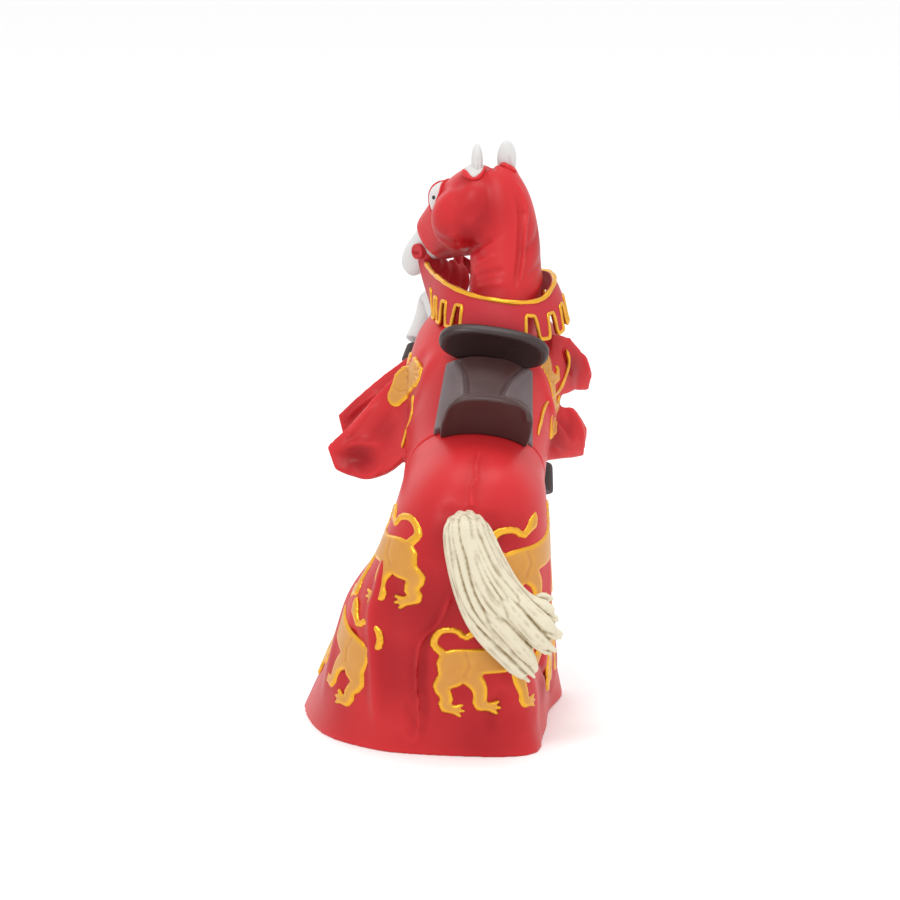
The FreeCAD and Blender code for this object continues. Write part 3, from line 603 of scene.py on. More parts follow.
strokes = [smooth_line(points, 1.3) for points in BRUSH.values()]
for x, y, lean in PAWS:
    for toe in (-0.55, 0.1, 0.75):
        a = lean + toe
        strokes.append([(x, y, 1.1), (x + 2.8 * math.cos(a), y + 2.8 * math.sin(a), 0.5)])
for angle, radius in MANE:
    x, y = 10.6 + 3.6 * math.cos(angle), 8.4 + 3.8 * math.sin(angle)
    strokes.append([(10.6, 8.6, 1.5), (x, y, radius)])
lion_outline = brush_distance(strokes)
GROOVES = brush_distance([
    [(-7.0, 5.2, 0.01), (-6.2, 1.5, 0.01), (-7.6, -1.6, 0.01)],
    [(5.4, 6.4, 0.01), (4.4, 3.0, 0.01), (5.6, 0.0, 0.01)],
    [(8.2, 6.0, 0.01), (9.4, 4.8, 0.01), (11.6, 5.4, 0.01)],
    [(12.6, 10.2, 0.3), (12.7, 10.2, 0.3)],
    [(13.0, 7.0, 0.01), (15.4, 6.6, 0.01)],
])
MANE_LOCKS = brush_distance([
    [(10.6 + 2.6 * math.cos(a + 0.28), 8.6 + 2.6 * math.sin(a + 0.28), 0.01),
     (10.6 + 4.4 * math.cos(a + 0.36), 8.6 + 4.4 * math.sin(a + 0.36), 0.12)] for a, _ in MANE])
CARVING_DEPTH, CARVING_WIDTH = 0.28, 0.35       # how deep and how wide the lines are cut, in mm


def lion_carving(u, v):
    """How deep the muscle lines and the mane are cut, in mm."""
    lines = np.minimum(GROOVES(u, v), MANE_LOCKS(u, v))
    return -CARVING_DEPTH * np.exp(-np.clip(lines, 0, None) / CARVING_WIDTH)


BUST = [smooth_line(BRUSH[part], 1.3) for part in ("raised_fore", "head", "snout", "ears")]
bust_outline = brush_distance(
    BUST + [[(3.0, 1.5, 3.6), (8.2, 4.6, 5.6)], [(10.6, 8.6, 4.9), (11.0, 8.6, 4.9)]] + strokes[-len(MANE):])
print("the lion has", len(strokes), "strokes")

# %% [markdown]
# ### Where the lions walk
# All of them face forward along the horse's flanks. On the hanging skirt a drawing is wrapped
# round an upright axis inside the cloth; on the shoulders it is carried straight in from the side.

# %% Lions on the skirt and the shoulders
SKIRT_AXIS = (-1.0, -15.0)      # where the upright axis stands, in mm
LION_SHEET = ((-19, 21), (-16, 18))             # the drawing sheet of one lion, in mm


def wrapped(angle, height, radius, size, flip, lean):
    """Rays from outside towards the upright axis. Angle 0 looks at the back, positive to the right."""
    def ray(u, v):
        u, v = u * size * flip, v * size
        u, v = u * math.cos(lean) - v * math.sin(lean), u * math.sin(lean) + v * math.cos(lean)
        turn = math.radians(angle) + u / radius
        way = Vector((-math.sin(turn), math.cos(turn), 0))
        return Vector((SKIRT_AXIS[0], SKIRT_AXIS[1], height + v)) * MM - way * 0.09, way
    return ray


LIONS = {                # angle, height, radius at that place, size, flip, lean
    "lion_left_low": (-62.5, 23.0, 27, 0.88, -1, -0.3),
    "lion_left_high": (-44, 45.5, 21, 0.8, -1, 0.15),
    "lion_left_front": (-120, 21.0, 27, 0.85, -1, -0.1),
    "lion_left_flank": (-120, 47.0, 21, 0.68, -1, -0.1),
    "lion_right_low": (20, 21.0, 28, 0.8, 1, 0.0),
    "lion_right_high": (51, 44.6, 24, 0.85, 1, 0.05),
    "lion_right_front": (88, 20.0, 27, 0.82, 1, 0.0),
    "lion_right_flank": (122, 44.0, 25, 0.62, 1, 0.1),
}
gold_lions = []
for name, (angle, height, radius, size, flip, lean) in LIONS.items():
    ray = wrapped(angle, height, radius, size, flip, lean)
    gold_lions.append(applique(name, rear_skin, lion_outline, LION_SHEET, ray, 0.55, 0.9, 0.3,
                               carve=lion_carving))
for name, outline, centre, across, up, way, size in (
        ("lion_left_shoulder", bust_outline, (-18, 8, 75.0),
         (-0.15, 0, 1), (0.88, -0.47, 0), (0.45, 0.85, -0.2), 0.8),
        ("lion_right_shoulder", lion_outline, (26, 9, 77),
         (0.05, 0.3, 0.95), (0.5, -0.8, 0.2), (-0.85, 0.5, -0.1), 0.7)):
    aim = straight(centre, across, up, way)
    flat = lambda u, v, aim=aim, size=size: aim(u * size, v * size)
    gold_lions.append(applique(name, front_skin, outline, LION_SHEET, flat, 0.6, 0.9, 0.3,
                               carve=lion_carving))
print("lions:", {lion.name: len(lion.data.polygons) for lion in gold_lions})

# %% [markdown]
# ### Scalloped rims and gold piping
# The hood's edge is gathered round each ear in little scallops, and a gold piping runs down the
# edge of the cloth in front of each shoulder. Both are cords laid on the cloth: a round tube that
# follows a traced line, with a thickness that swells and thins.

# %% A cord along a line
def tube_faces(last, sides):
    """The faces of a tube whose rings are numbered 0 to last, with both ends closed."""
    faces = [[i * sides + k, i * sides + (k + 1) % sides, (i + 1) * sides + (k + 1) % sides,
              (i + 1) * sides + k] for i in range(last) for k in range(sides)]
    return faces + [list(range(sides - 1, -1, -1)), [last * sides + k for k in range(sides)]]


def cord_tube(name, line, radius, sides=10, lumps=0.0):
    """A round cord along a line, its ends closed; lumps makes its thickness uneven."""
    line = np.asarray(line)
    way = np.gradient(line, axis=0)
    way /= np.linalg.norm(way, axis=1)[:, None]
    side = np.cross(way, (0.05, 0.1, 1.0))
    side /= np.linalg.norm(side, axis=1)[:, None]
    up = np.cross(side, way)
    verts = []
    last = len(line) - 1
    for i, centre in enumerate(line):
        end = min(1.0, math.sqrt(max(0.0, min(i, last - i) / 3.0)))
        r = radius * MM * max(end, 0.05) * (1 + lumps * math.sin(i * 0.35) * math.sin(i * 0.13 + 1))
        for k in range(sides):
            a = math.tau * k / sides
            verts.append(centre + (side[i] * math.cos(a) + up[i] * math.sin(a)) * r)
    return tidy_shell(make(name, verts, tube_faces(last, sides)))


def laid_cord(name, target, view, points, radius, lumps=0.0, lift=0.15):
    """A cord that lies on a surface along a line drawn on a view."""
    line, facing = trace(target, view, points)
    return cord_tube(name, line + facing * (lift * MM), radius, lumps=lumps)


# %% Ear openings and shoulder piping
def through_pane(a, b):
    """Rays from the back view's eye through a drawing on the pane, centred on (a, b)."""
    eye = EYES["back"]
    return lambda u, v: (eye, (pane_point("back", a + u, b + v) - eye).normalized())


def ear_hole(u, v):
    """Signed distance to an upright oval, its foot round the ear."""
    half_wide, half_high, middle = 2.8, 4.2, 1.6
    return np.hypot(u / half_wide, (v - middle) / half_high) * half_wide - half_wide


ear_patch = applique("left_ear_opening", neck_skin, ear_hole, ((-3.2, 3.2), (-3.4, 6.2)),
                     through_pane(5.9, 136.3), 0.2, 0.5, 0.2)
red_rims = [
    laid_cord("left_ear_rim", neck_skin, "back",
              [(3.0, 137.8), (3.3, 135.6), (4.4, 134), (5.9, 133.3), (7.4, 134), (8.4, 135.6), (8.8, 137.2)],
              0.55, 0.5),
    laid_cord("right_ear_rim", neck_skin, "back",
              [(10.2, 137), (12.2, 137), (14.4, 136.2), (16.4, 134.9)], 0.5, 0.5),
]
for side, edge in zip(("left", "right"), eye_edges):
    hits = [neck_skin.ray_cast(*aim)[0] for aim in edge]
    red_rims.append(cord_tube(side + "_eye_rim", [hit for hit in hits if hit], 0.34, lumps=0.15))
pipings = [
    laid_cord("left_shoulder_piping", front_skin, "back",
              [(-9, 79), (-9.4, 74), (-10.8, 69.5), (-12, 65.2)], 0.45, 0.2),
    laid_cord("right_shoulder_piping", front_skin, "back",
              [(29, 90.5), (29.6, 86.5), (27.5, 80.5), (24, 76.5), (22.6, 71.5), (22, 68.5)], 0.45, 0.2),
]
print("cords:", [c.name for c in red_rims + pipings])

# %% [markdown]
# ## The rein cloth
# A broad band of cloth runs from one side of the bit round the neck to the other. Its upper edge
# carries a gold cord, and its lower edge is cut into square tabs that are bound in gold. The band
# is a strip with two directions, along and down, so the cut edge is just a rule that says how deep
# the strip hangs at each place along it.

# %% The band's upper edge and the way it hangs
REIN_TOP = [
    (-8.0, 40.5, 111.0), (-6.2, 36, 107.6), (-4.2, 28.3, 105.8), (-2.4, 21.8, 105.3), (0.2, 15.6, 104.3),
    (5.0, 10.3, 103.0), (10.4, 7.3, 102.1), (17.2, 6.6, 101.4), (22.9, 10.6, 101.7), (26.1, 18.3, 104.6),
    (25.2, 28.3, 105.8), (19.6, 36.5, 104.6), (10.8, 43.0, 103.8), (1.2, 45.6, 108.6),
]
REIN_SLOPE = 0.34               # how far the band stands out at the back and on the right
top_line = smooth_line(np.array(REIN_TOP) * MM, 0.14 * MM)
along = np.gradient(top_line, axis=0)
along /= np.linalg.norm(along, axis=1)[:, None]
out_way = np.cross(along, (0, 0, 1))
out_way /= np.linalg.norm(out_way, axis=1)[:, None]
out_way *= np.sign((out_way * (top_line - top_line.mean(0))).sum(1))[:, None]
slope = REIN_SLOPE * np.clip((top_line[:, :1] / MM + 5) / 9, 0, 1)     # it hangs straight on the left
drop_way = np.array((0, 0, -1.0)) + out_way * slope
drop_way /= np.linalg.norm(drop_way, axis=1)[:, None]
band_run = np.r_[0, np.cumsum(np.linalg.norm(np.diff(top_line, axis=0), axis=1))] / MM
neck_back = band_run[top_line[:, 1].argmin()]    # where the band crosses the crest
print("band length", round(band_run[-1], 1), "mm, crest at", round(neck_back, 1))

# %% The tabs along the lower edge
TABS_FROM, TAB_PITCH, SLOT_SHARE = 7.2, 5.8, 0.46     # first slot from the plain middle, spacing, slot width
PLAIN_MIDDLE = neck_back - 4.7  # the middle of the uncut stretch behind the saddle board
PLAIN_END = 15                  # the band's ends have no slots and no gold edge
BAND_DEPTH, EXTRA_DEPTH = 9.6, 1.6                    # depth at the back, and what the sides have more
SLOT_DEPTH = 6.0
NARROW_END, NARROW_OVER = 0.2, 22                     # share of the depth at the bit, and over what length


def smooth_gate(x, soft):
    """0 below zero and 1 above it, with a soft step."""
    return 1 / (1 + np.exp(-np.clip(x / soft, -30, 30)))


def band_depth(run):
    """How far the cloth hangs at a distance along the band, in mm."""
    away = np.abs(run - PLAIN_MIDDLE)
    phase = (away - TABS_FROM) / TAB_PITCH
    within = np.abs(phase - np.round(phase - 0.25) - 0.25) * TAB_PITCH
    slot = smooth_gate(SLOT_SHARE * TAB_PITCH / 2 - within, 0.1) * (away > TABS_FROM)
    ends = np.minimum(run, band_run[-1] - run)
    slot *= ends > PLAIN_END
    full = BAND_DEPTH + EXTRA_DEPTH * np.clip((away - 8) / 12, 0, 1)
    return full * np.clip(NARROW_END + ends / NARROW_OVER, NARROW_END, 1) - slot * SLOT_DEPTH


def band_point(i, down, lift):
    """A point on the band: i steps along, so far down and so far out, in mm."""
    bow = 0.5 * math.sin(min(1.0, down / 9.4) * math.pi)
    return top_line[i] + drop_way[i] * (down * MM) + out_way[i] * ((lift + bow) * MM)


def rein_cloth(rows=26, thick=1.0):
    """The band as a closed sheet: down its outer face and up its inner one, all along."""
    verts, faces = [], []
    ring = 2 * (rows + 1)
    for i, run in enumerate(band_run):
        depth = band_depth(run)
        downs = [depth * k / rows for k in range(rows + 1)]
        verts += [band_point(i, d, thick / 2) for d in downs]
        verts += [band_point(i, d, -thick / 2) for d in reversed(downs)]
    for i in range(len(band_run) - 1):
        for k in range(ring):
            a, b = i * ring + k, i * ring + (k + 1) % ring
            faces.append([a, a + ring, b + ring, b])
    for i in (0, len(band_run) - 1):
        for k in range(rows):
            a, b = i * ring + k, i * ring + ring - 1 - k
            faces.append([a, a + 1, b - 1, b] if i == 0 else [a, b, b - 1, a + 1])
    return make("rein_cloth", verts, faces)


# %% The band and its gold edges
CORD_FROM = 6.5                 # the upper cord starts this far from the knobs, in mm
SADDLE_GAP = 5.5                # half the stretch behind the saddle board that has no edge cord
rein = rein_cloth()
steps = range(0, len(band_run), 3)
steps = [i for i in steps if CORD_FROM < band_run[i] < band_run[-1] - CORD_FROM]
top_cord = cord_tube("rein_top_cord", [band_point(i, 0.1, 0.35) for i in steps], 0.66, lumps=0.16)
EDGE = [band_point(i, band_depth(run) - 0.25, 0.45) for i, run in enumerate(band_run)
        if PLAIN_END < run < band_run[-1] - PLAIN_END and abs(run - PLAIN_MIDDLE) > SADDLE_GAP]
fold = clay_blank("rein_fold", [], 0.26, 30, extra=[
    lump(centre, radii) for centre, radii in (
        ((-6.0, 37.6, 108.4), (1.7, 1.8, 2.2)), ((-4.2, 38.6, 106.2), (2.3, 1.4, 3.0)),
        ((-2.0, 40.0, 103.9), (2.4, 1.3, 4.2)), ((0.6, 41.5, 102.0), (2.5, 1.3, 5.4)),
        ((3.0, 43.0, 101.2), (2.4, 1.3, 4.6)), ((2.2, 44.6, 105.5), (1.6, 1.4, 3.6)))])
jumps = [k for k in range(1, len(EDGE)) if np.linalg.norm(EDGE[k] - EDGE[k - 1]) > 4 * MM]
edge_cords = []
for number, (start, stop) in enumerate(zip([0] + jumps, jumps + [len(EDGE)])):
    stretch = np.array(EDGE[start:stop])
    gone = np.r_[0, np.cumsum(np.linalg.norm(np.diff(stretch, axis=0), axis=1))]
    even = np.arange(0, gone[-1], 0.3 * MM)
    path = np.stack([np.interp(even, gone, stretch[:, k]) for k in range(3)], 1)
    edge_cords.append(cord_tube(f"rein_edge_cord_{number}", path, 0.5, lumps=0.1))
print("rein:", len(rein.data.vertices), "vertices,", len(edge_cords), "edge cords")

# %% [markdown]
# ### The bit bosses
# A round knob holds the band to the bit on each side. Its CAD cylinder is softened until the rim
# is domed, moved onto the corner of the mouth, and gets one slot pressed across it.

# %% Bosses
BOSS_SHIFT = Vector((1.2, -0.6, -0.2))          # onto the corner of the mouth, in mm
bosses = []
for side in ("left", "right"):
    boss = clay_blank(side + "_rein_knob", [side + "_bit_boss"], 0.2, 5)
    press(boss, grain(boss) + np.array(BOSS_SHIFT) * MM)
    low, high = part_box(side + "_bit_boss")
    middle = (low + high) / 2 / MM + BOSS_SHIFT
    boss_skin = surface_of(boss)
    for view in ("left", "back"):
        a = middle.y if view == "left" else middle.x * 0.94
        emboss(boss, boss_skin, view, [(a, middle.z + 4.2), (a, middle.z + 3)] if view == "back"
               else [(a - 1.2, middle.z), (a + 1.2, middle.z)], -0.7, 0.5)
    bosses.append(boss)
print("bosses:", [boss.name for boss in bosses])

# %% [markdown]
# ## The saddle
# A knight's saddle holds its rider between two upright boards. The toy imitates leather over wood:
# near black, with a thick rounded rim that wear would polish. The seat is a hollowed saddle shape
# between them, and its side panels are divided from the middle by two curved seams.

# %% Saddle boards
def saddle_board(name, centre, across, up, half_across, half_up, thick, squareness=2.2, foot=0.0):
    """A cushion-edged board: rings of its outline, drawn in towards both faces."""
    centre, across, up = Vector(centre) * MM, Vector(across).normalized(), Vector(up).normalized()
    way = across.cross(up).normalized()
    section = [(0.0, -1.0), (0.5, -1.0), (0.86, -1.06), (0.95, -0.95), (1.0, -0.45),
               (1.0, 0.45), (0.95, 0.95), (0.86, 1.06), (0.5, 0.8), (0.0, 0.7)]
    around = 96
    verts = []
    for share, side in section:
        for k in range(around):
            a = math.tau * k / around
            ca, sa = math.cos(a), math.sin(a)
            x = math.copysign(abs(ca) ** (2 / squareness), ca)
            y = math.copysign(abs(sa) ** (2 / squareness), sa)
            y = y if y > 0 else y * (1 + foot)
            inset = max(share, 0.001)
            place = centre + (across * x * half_across + up * y * half_up) * (inset * MM)
            verts.append(place + way * (side * thick / 2 * MM))
    return skin_over(make(name, verts, tube_faces(len(section) - 1, around)), 0.24, 2)


BOARD_TILT = math.radians(9)    # the board's right end hangs lower
BOARD_ACROSS = (math.cos(BOARD_TILT), 0, -math.sin(BOARD_TILT))
BOARD_UP = (0.13, -0.545, 0.83)
pommel = saddle_board("pommel_board", (11.0, 1.6, 91.0), BOARD_ACROSS, BOARD_UP, 13.9, 5.9, 3.0, 2.5)
cantle = clay_blank("cantle_board", ["saddle_cantle"], 0.26, 5)
cantle_skin = surface_of(cantle)
CANTLE_RIM = [(-1.0, 71.5), (-0.7, 74.5), (1.6, 77.6), (6.3, 78.8), (13.8, 78), (18.4, 75.5), (19.4, 71.5)]
emboss(cantle, cantle_skin, "back", CANTLE_RIM, 0.3, 0.6, 0.05)
swell(cantle, cantle_skin, "back", (8.5, 74), -0.5, 5)
print("boards:", pommel.name, cantle.name)

# %% Saddle seat
SEAT_MIDDLE = 9                 # where the seat's middle stands across the toy, in mm
SEAT_BACK, SEAT_LONG = -17, 21  # where the seat starts, and how far it runs towards the pommel
LEFT_TAPER, RIGHT_SHARE = 0.24, 0.87            # how its two sides are drawn in
seat = clay_blank("seat_shell", ["saddle_seat"], 0.28, 5)
co = grain(seat) / MM
toward_pommel = np.clip((co[:, 1] - SEAT_BACK) / SEAT_LONG, 0, 1)
left_of, right_of = np.minimum(co[:, 0] - SEAT_MIDDLE, 0), np.maximum(co[:, 0] - SEAT_MIDDLE, 0)
co[:, 0] = SEAT_MIDDLE + left_of * (1 - LEFT_TAPER * toward_pommel) + right_of * RIGHT_SHARE
press(seat, co * MM)
seat_skin = surface_of(seat)
SEAT_SEAMS = {"left": [(1.0, 90), (2.6, 87), (3.8, 84), (4.0, 79), (2.5, 76)],
              "right": [(20.8, 87), (17.5, 85), (15, 82.5), (13.2, 79), (13.6, 75)]}
for side, seam in SEAT_SEAMS.items():
    outer = 1.3 if side == "right" else -1.3    # the panel swells beside its seam
    emboss(seat, seat_skin, "back", seam, -0.45, 0.5, 0.05)
    emboss(seat, seat_skin, "back", [(a + outer, b) for a, b in seam], 0.35, 1.0, 0.05)
swell(seat, seat_skin, "back", (9, 83), -0.7, 5.5)


def side_panel_share(co):
    """1 on the seat's side panels and 0 between its seams, as seen from the back view."""
    eye = np.array(EYES["back"])
    way = co - eye
    x = (eye[0] + way[:, 0] * (-eye[1] / way[:, 1])) / MM
    z = (eye[2] + way[:, 2] * (-eye[1] / way[:, 1])) / MM
    left, right = (np.array(SEAT_SEAMS[side][::-1]) for side in ("left", "right"))
    out = np.maximum(np.interp(z, left[:, 1], left[:, 0]) - x, x - np.interp(z, right[:, 1], right[:, 0]))
    return np.clip(out / 0.5 + 0.5, 0, 1)


# this share marks where the seat's painted sheen goes
share = seat.data.attributes.new("side_panel", "FLOAT", "POINT")
share.data.foreach_set("value", side_panel_share(grain(seat)).astype(np.float32))
print("seat:", len(seat.data.vertices), "vertices")

# %% [markdown]
# ## The tail
# The cream tail is one moulding sculpted as a bundle of heavy locks: it leaves the dock, swings to
# the right as the horse rears, and ends in two tips. Strands that run between guide lines are laid
# over an inner core and put under one fine skin, and the dents between them stay as the grooves.

# %% Tail strands
TAIL_GUIDES = [          # each from the dock to its tip, across and up in mm, then how far back it stands
    [(0.2, 45.6, -42), (-0.6, 43.6, -47.4), (-1.2, 41, -48), (-0.6, 33, -50),
     (1.6, 24, -50), (5.4, 15.4, -49.5), (13.5, 8.8, -50.5), (21, 3.2, -51.5)],
    [(1.4, 47.2, -43), (0.9, 44.8, -50), (1.2, 41, -50.4), (3.4, 31, -52),
     (6.6, 22.8, -53), (11.6, 15.8, -53), (16.8, 10, -53), (21.4, 4.2, -52)],
    [(3.0, 48.0, -43.5), (3.2, 45.4, -51), (4, 40.5, -51.8), (7, 31, -53.5),
     (10.6, 24, -54.6), (16, 18, -55), (20.6, 13, -54.6), (22.6, 9.2, -53)],
    [(4.8, 48.0, -43.5), (5.2, 45.4, -51), (6, 41.5, -51.8), (9.5, 33, -53.8),
     (13.6, 26.5, -54.8), (18, 21, -55.2), (23, 15.6, -55), (27.6, 12.6, -54)],
    [(6.4, 47.4, -43), (7, 44.8, -50), (8, 41.5, -50.4), (11, 34, -52),
     (15.5, 28, -53), (19.6, 23.4, -54), (24.6, 19, -54.4), (28.6, 16.8, -53.5)],
    [(7.6, 46.2, -42.5), (8.6, 43.8, -48), (9.6, 41.2, -48.4), (12.4, 35.2, -49.5),
     (16, 29, -50.5), (20, 25, -51.5), (24, 23.2, -52), (28.2, 21.4, -52)],
    [(7.9, 44.8, -41.5), (9.0, 42.8, -46.2), (9.9, 40.2, -46.8), (12.8, 34.4, -48),
     (16.6, 28.6, -48.5), (20.6, 26.6, -48.5), (22.6, 28.2, -48), (25.4, 27.6, -48)],
]
LOCKS = (0.04, 0.24, 0.47, 0.63, 0.8, 0.97)     # the strands draw together into these locks
STEPS = 60                                      # steps along every strand
STRANDS = 120
random.seed(7)
guide_lines = []
for guide in TAIL_GUIDES:
    line = smooth_line(np.array(guide) * MM, 0.2 * MM)
    guide_lines.append(line[np.linspace(0, len(line) - 1, STEPS).astype(int)])
guide_lines = np.array(guide_lines)


def in_space(point):
    """A pane point with its own depth, moved along the eye's ray to that depth."""
    eye = np.array(EYES["back"])
    way = np.array((point[0], 0.0, point[1])) - eye
    return eye + way * ((point[2] - eye[1]) / way[1])


def tail_path(share, depth, wave):
    """A line between the guides: share 0 is the left edge, 1 the right; depth moves it away."""
    t = np.linspace(0, 1, STEPS)
    lock = min(LOCKS, key=lambda centre: abs(centre - share))
    at = (share + (lock - share) * 0.6 * t ** 3) * (len(guide_lines) - 1)
    low = np.clip(at.astype(int), 0, len(guide_lines) - 2)
    step = np.arange(STEPS)
    path = (guide_lines[low, step] * (1 - at + low)[:, None]
            + guide_lines[low + 1, step] * (at - low)[:, None])
    path[:, 0] += wave[0] * MM * np.sin(t * wave[1] + wave[2]) * np.sin(t * math.pi)
    path[:, 2] += depth * MM * np.sin(np.clip(t * 1.25 + 0.12, 0, 1) * math.pi) ** 0.7
    return np.array([in_space(p) for p in path])


strands = []
for number in range(STRANDS):
    share = 0.03 + 0.94 * random.random()
    depth = random.uniform(3.0, 5.0) if number % 3 == 0 else random.uniform(-0.9, 0.6)
    path = tail_path(share, depth, (random.uniform(-0.9, 0.9), random.uniform(4, 9), random.uniform(0, 6)))
    stop = random.randint(STEPS - 10, STEPS)
    strands.append((path[:stop], random.uniform(0.55, 1.2), np.linspace(0, 1, stop)))


def strand_solid(line, radius, taper, sides=8):
    """A closed strand that is thin at the dock and rounded off at its tip."""
    way = np.gradient(line, axis=0)
    way /= np.linalg.norm(way, axis=1)[:, None]
    side = np.cross(way, (0.1, 1.0, 0.05))
    side /= np.linalg.norm(side, axis=1)[:, None]
    up = np.cross(side, way)
    size = radius * MM * np.clip(np.minimum(0.55 + taper * 1.8, (1.04 - taper) * 9) ** 0.6, 0.2, 1)
    verts = [line[i] + (side[i] * math.cos(a) + up[i] * math.sin(a)) * size[i]
             for i in range(len(line)) for a in np.arange(sides) * math.tau / sides]
    return verts, tube_faces(len(line) - 1, sides)


core = []
CORE_STEPS = STEPS - 3                          # the core stops short of the tips
for share, depth in ((0.12, 1.6), (0.3, 2.4), (0.5, 2.6), (0.7, 2.4), (0.88, 1.6)):
    line = tail_path(share, depth, (0, 1, 0))
    core.append(strand_solid(line[:CORE_STEPS], 2.2, np.linspace(0, 1, CORE_STEPS)))
root = lump((3.6, -45.6, 56.2), (4.3, 3.8, 3.2))
tail = clay_blank("tail_hair", [], 0.22, 1, extra=core + [root] + [strand_solid(*s) for s in strands])
print("tail:", len(tail.data.vertices), "vertices")

# %% [markdown]
# ## Legs and hooves
# The forelegs are folded in the air and the hind legs stand under the cloth. The CAD legs have the
# right places and thickness, so one skin with a line pressed or raised down each side is all they
# get. The two fore hooves are also stretched and shifted a little from their CAD places.

# %% Legs
limbs, hooves = [], []
for name in ("left_foreleg", "right_foreleg", "left_hind_leg", "right_hind_leg"):
    leg = clay_blank(name + "_flesh", [name], 0.3, 4)
    leg_skin = surface_of(leg)
    low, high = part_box(name)
    mid = (low + high) / 2 / MM
    for view in ("left", "right"):
        groove = [(mid.y + 1, mid.z + 6), (mid.y, mid.z), (mid.y - 1, mid.z - 7)]
        emboss(leg, leg_skin, view, groove, -0.35, 0.7)
    for view in ("front", "back"):
        tendon = [(mid.x, mid.z + 6), (mid.x, mid.z), (mid.x, mid.z - 7)]
        emboss(leg, leg_skin, view, tendon, 0.3, 0.8)
    limbs.append(leg)
HOOF_CHANGES = {                # stretch, and shift in mm
    "right_fore_hoof": ((1.1, 1.05, 1.3), (-1.6, 0, -2.4)),
    "left_fore_hoof": ((0.8, 0.95, 0.8), (0.6, 0, -0.9)),
}
for name in ("left_fore_hoof", "right_fore_hoof", "left_hind_hoof", "right_hind_hoof"):
    hoof = clay_blank(name + "_horn", [name], 0.26, 9)
    if name in HOOF_CHANGES:
        scale, shift = HOOF_CHANGES[name]
        co = grain(hoof)
        middle = co.mean(0)
        press(hoof, middle + (co - middle) * scale + np.array(shift) * MM)
    hooves.append(hoof)
print("legs and hooves:", len(limbs), len(hooves))

# %% [markdown]
# ## Hollows
# The finishes paint shade into the hollows and leave the high spots bright; on the tail a tan wash lies in the
# grooves along with the painted shade.
# To paint that way the materials have to know where the hollows are. Each piece is compared with
# a heavily smoothed copy of itself: where the copy lies above the surface there is a hollow. The
# result is stored on the vertices, from -1 on a ridge to 1 in a groove.

# %% Measure the hollows of a piece
def mark_hollows(piece, rounds, depth):
    """Writes the attribute "hollow": depth is the size in mm that counts as 1."""
    co, no, edges = grain(piece), outward(piece), edge_pairs(piece)
    smooth = co.copy()
    for _ in range(rounds):
        smooth += (neighbour_mean(smooth, edges) - smooth) * 0.6
    hollow = ((smooth - co) * no).sum(1) / (depth * MM)
    hollow = neighbour_mean(hollow[:, None], edges)[:, 0]
    mark = piece.data.attributes.new("hollow", "FLOAT", "POINT")
    mark.data.foreach_set("value", np.clip(hollow, -1, 1).astype(np.float32))


# %% [markdown]
# ### Airbrushed crimson and painted shade
# After the red base coat the painter mists a deeper crimson into the places that lie in shade, and
# the same crimson is painted shade there as well: the middle of the hanging cloth, the throat, the
# undersides of the flying corners. Each spot of mist is a place on a view with a reach in mm and a
# strength, kept on the vertices as an attribute.

# %% Mist crimson and painted shade onto the shaded places
def spray_shade_spots(piece, target, spots):
    """Writes the airbrushed crimson and painted shade as an attribute: the strongest of the soft spots at each
    vertex.
    """
    co = grain(piece)
    spray_and_shade = np.zeros(len(co))
    for view, (a, b), reach, strength in spots:
        place, _ = trace(target, view, [(a - 0.2, b), (a + 0.2, b)])
        if len(place):
            gap = np.linalg.norm(co - place[0], axis=1) / (reach * MM)
            spray_and_shade = np.maximum(spray_and_shade, strength * np.exp(-gap ** 2))
    mark = piece.data.attributes.new("spray_and_shade", "FLOAT", "POINT")
    mark.data.foreach_set("value", spray_and_shade.astype(np.float32))


spray_shade_spots(rear_cloth, rear_skin, [
    ("back", (-7, 24), 15, 0.75), ("back", (-12, 8), 13, 0.7), ("back", (1, 5), 14, 0.6),
    ("back", (-2, 40), 10, 0.55), ("back", (14, 42), 9, 0.6), ("back", (-28, -2), 9, 0.4),
    ("back", (10, -9), 13, 0.6), ("back", (24, 4), 5, 0.7), ("left", (-12, 20), 14, 0.5),
    ("left", (-30, 10), 12, 0.4), ("right", (-20, 20), 14, 0.5), ("front", (0, 20), 18, 0.5),
])
spray_shade_spots(front_cloth, front_skin, [
    ("back", (-23, 62.5), 5, 0.9), ("back", (-16, 70), 5, 0.6), ("back", (27, 68), 5, 0.7),
    ("back", (24, 92), 5, 0.6), ("back", (31, 86), 4.5, 0.9), ("back", (30, 70), 3.5, 0.5),
    ("back", (-24, 74), 5, 0.5), ("left", (8, 76), 9, 0.4), ("front", (0, 78), 12, 0.4),
])
spray_shade_spots(neck_cloth, neck_skin, [
    ("back", (5, 119), 5, 0.8), ("back", (2, 113.5), 4, 0.9), ("back", (-1, 115), 4, 0.8),
    ("back", (8, 126), 7, 0.5), ("back", (9, 106), 4, 0.4), ("back", (4.6, 133.6), 3, 0.5),
    ("left", (22, 114), 7, 0.6), ("right", (24, 114), 7, 0.6), ("front", (8, 112), 8, 0.6),
])
print("shade misted on the red cloth")

# %% [markdown]
# ## Paint
# Shader maths is easier to read as sums than as boxes, so a small class wraps a socket and turns
# + - * into Math nodes. A second class holds one material and adds every other kind of node
# through a single method.

# %% Sums on sockets
def plug(tree, socket, value):
    """Links a wire to a socket, or sets the socket to a plain value."""
    if isinstance(value, Wire):
        tree.links.new(value.socket, socket)
    else:
        socket.default_value = value


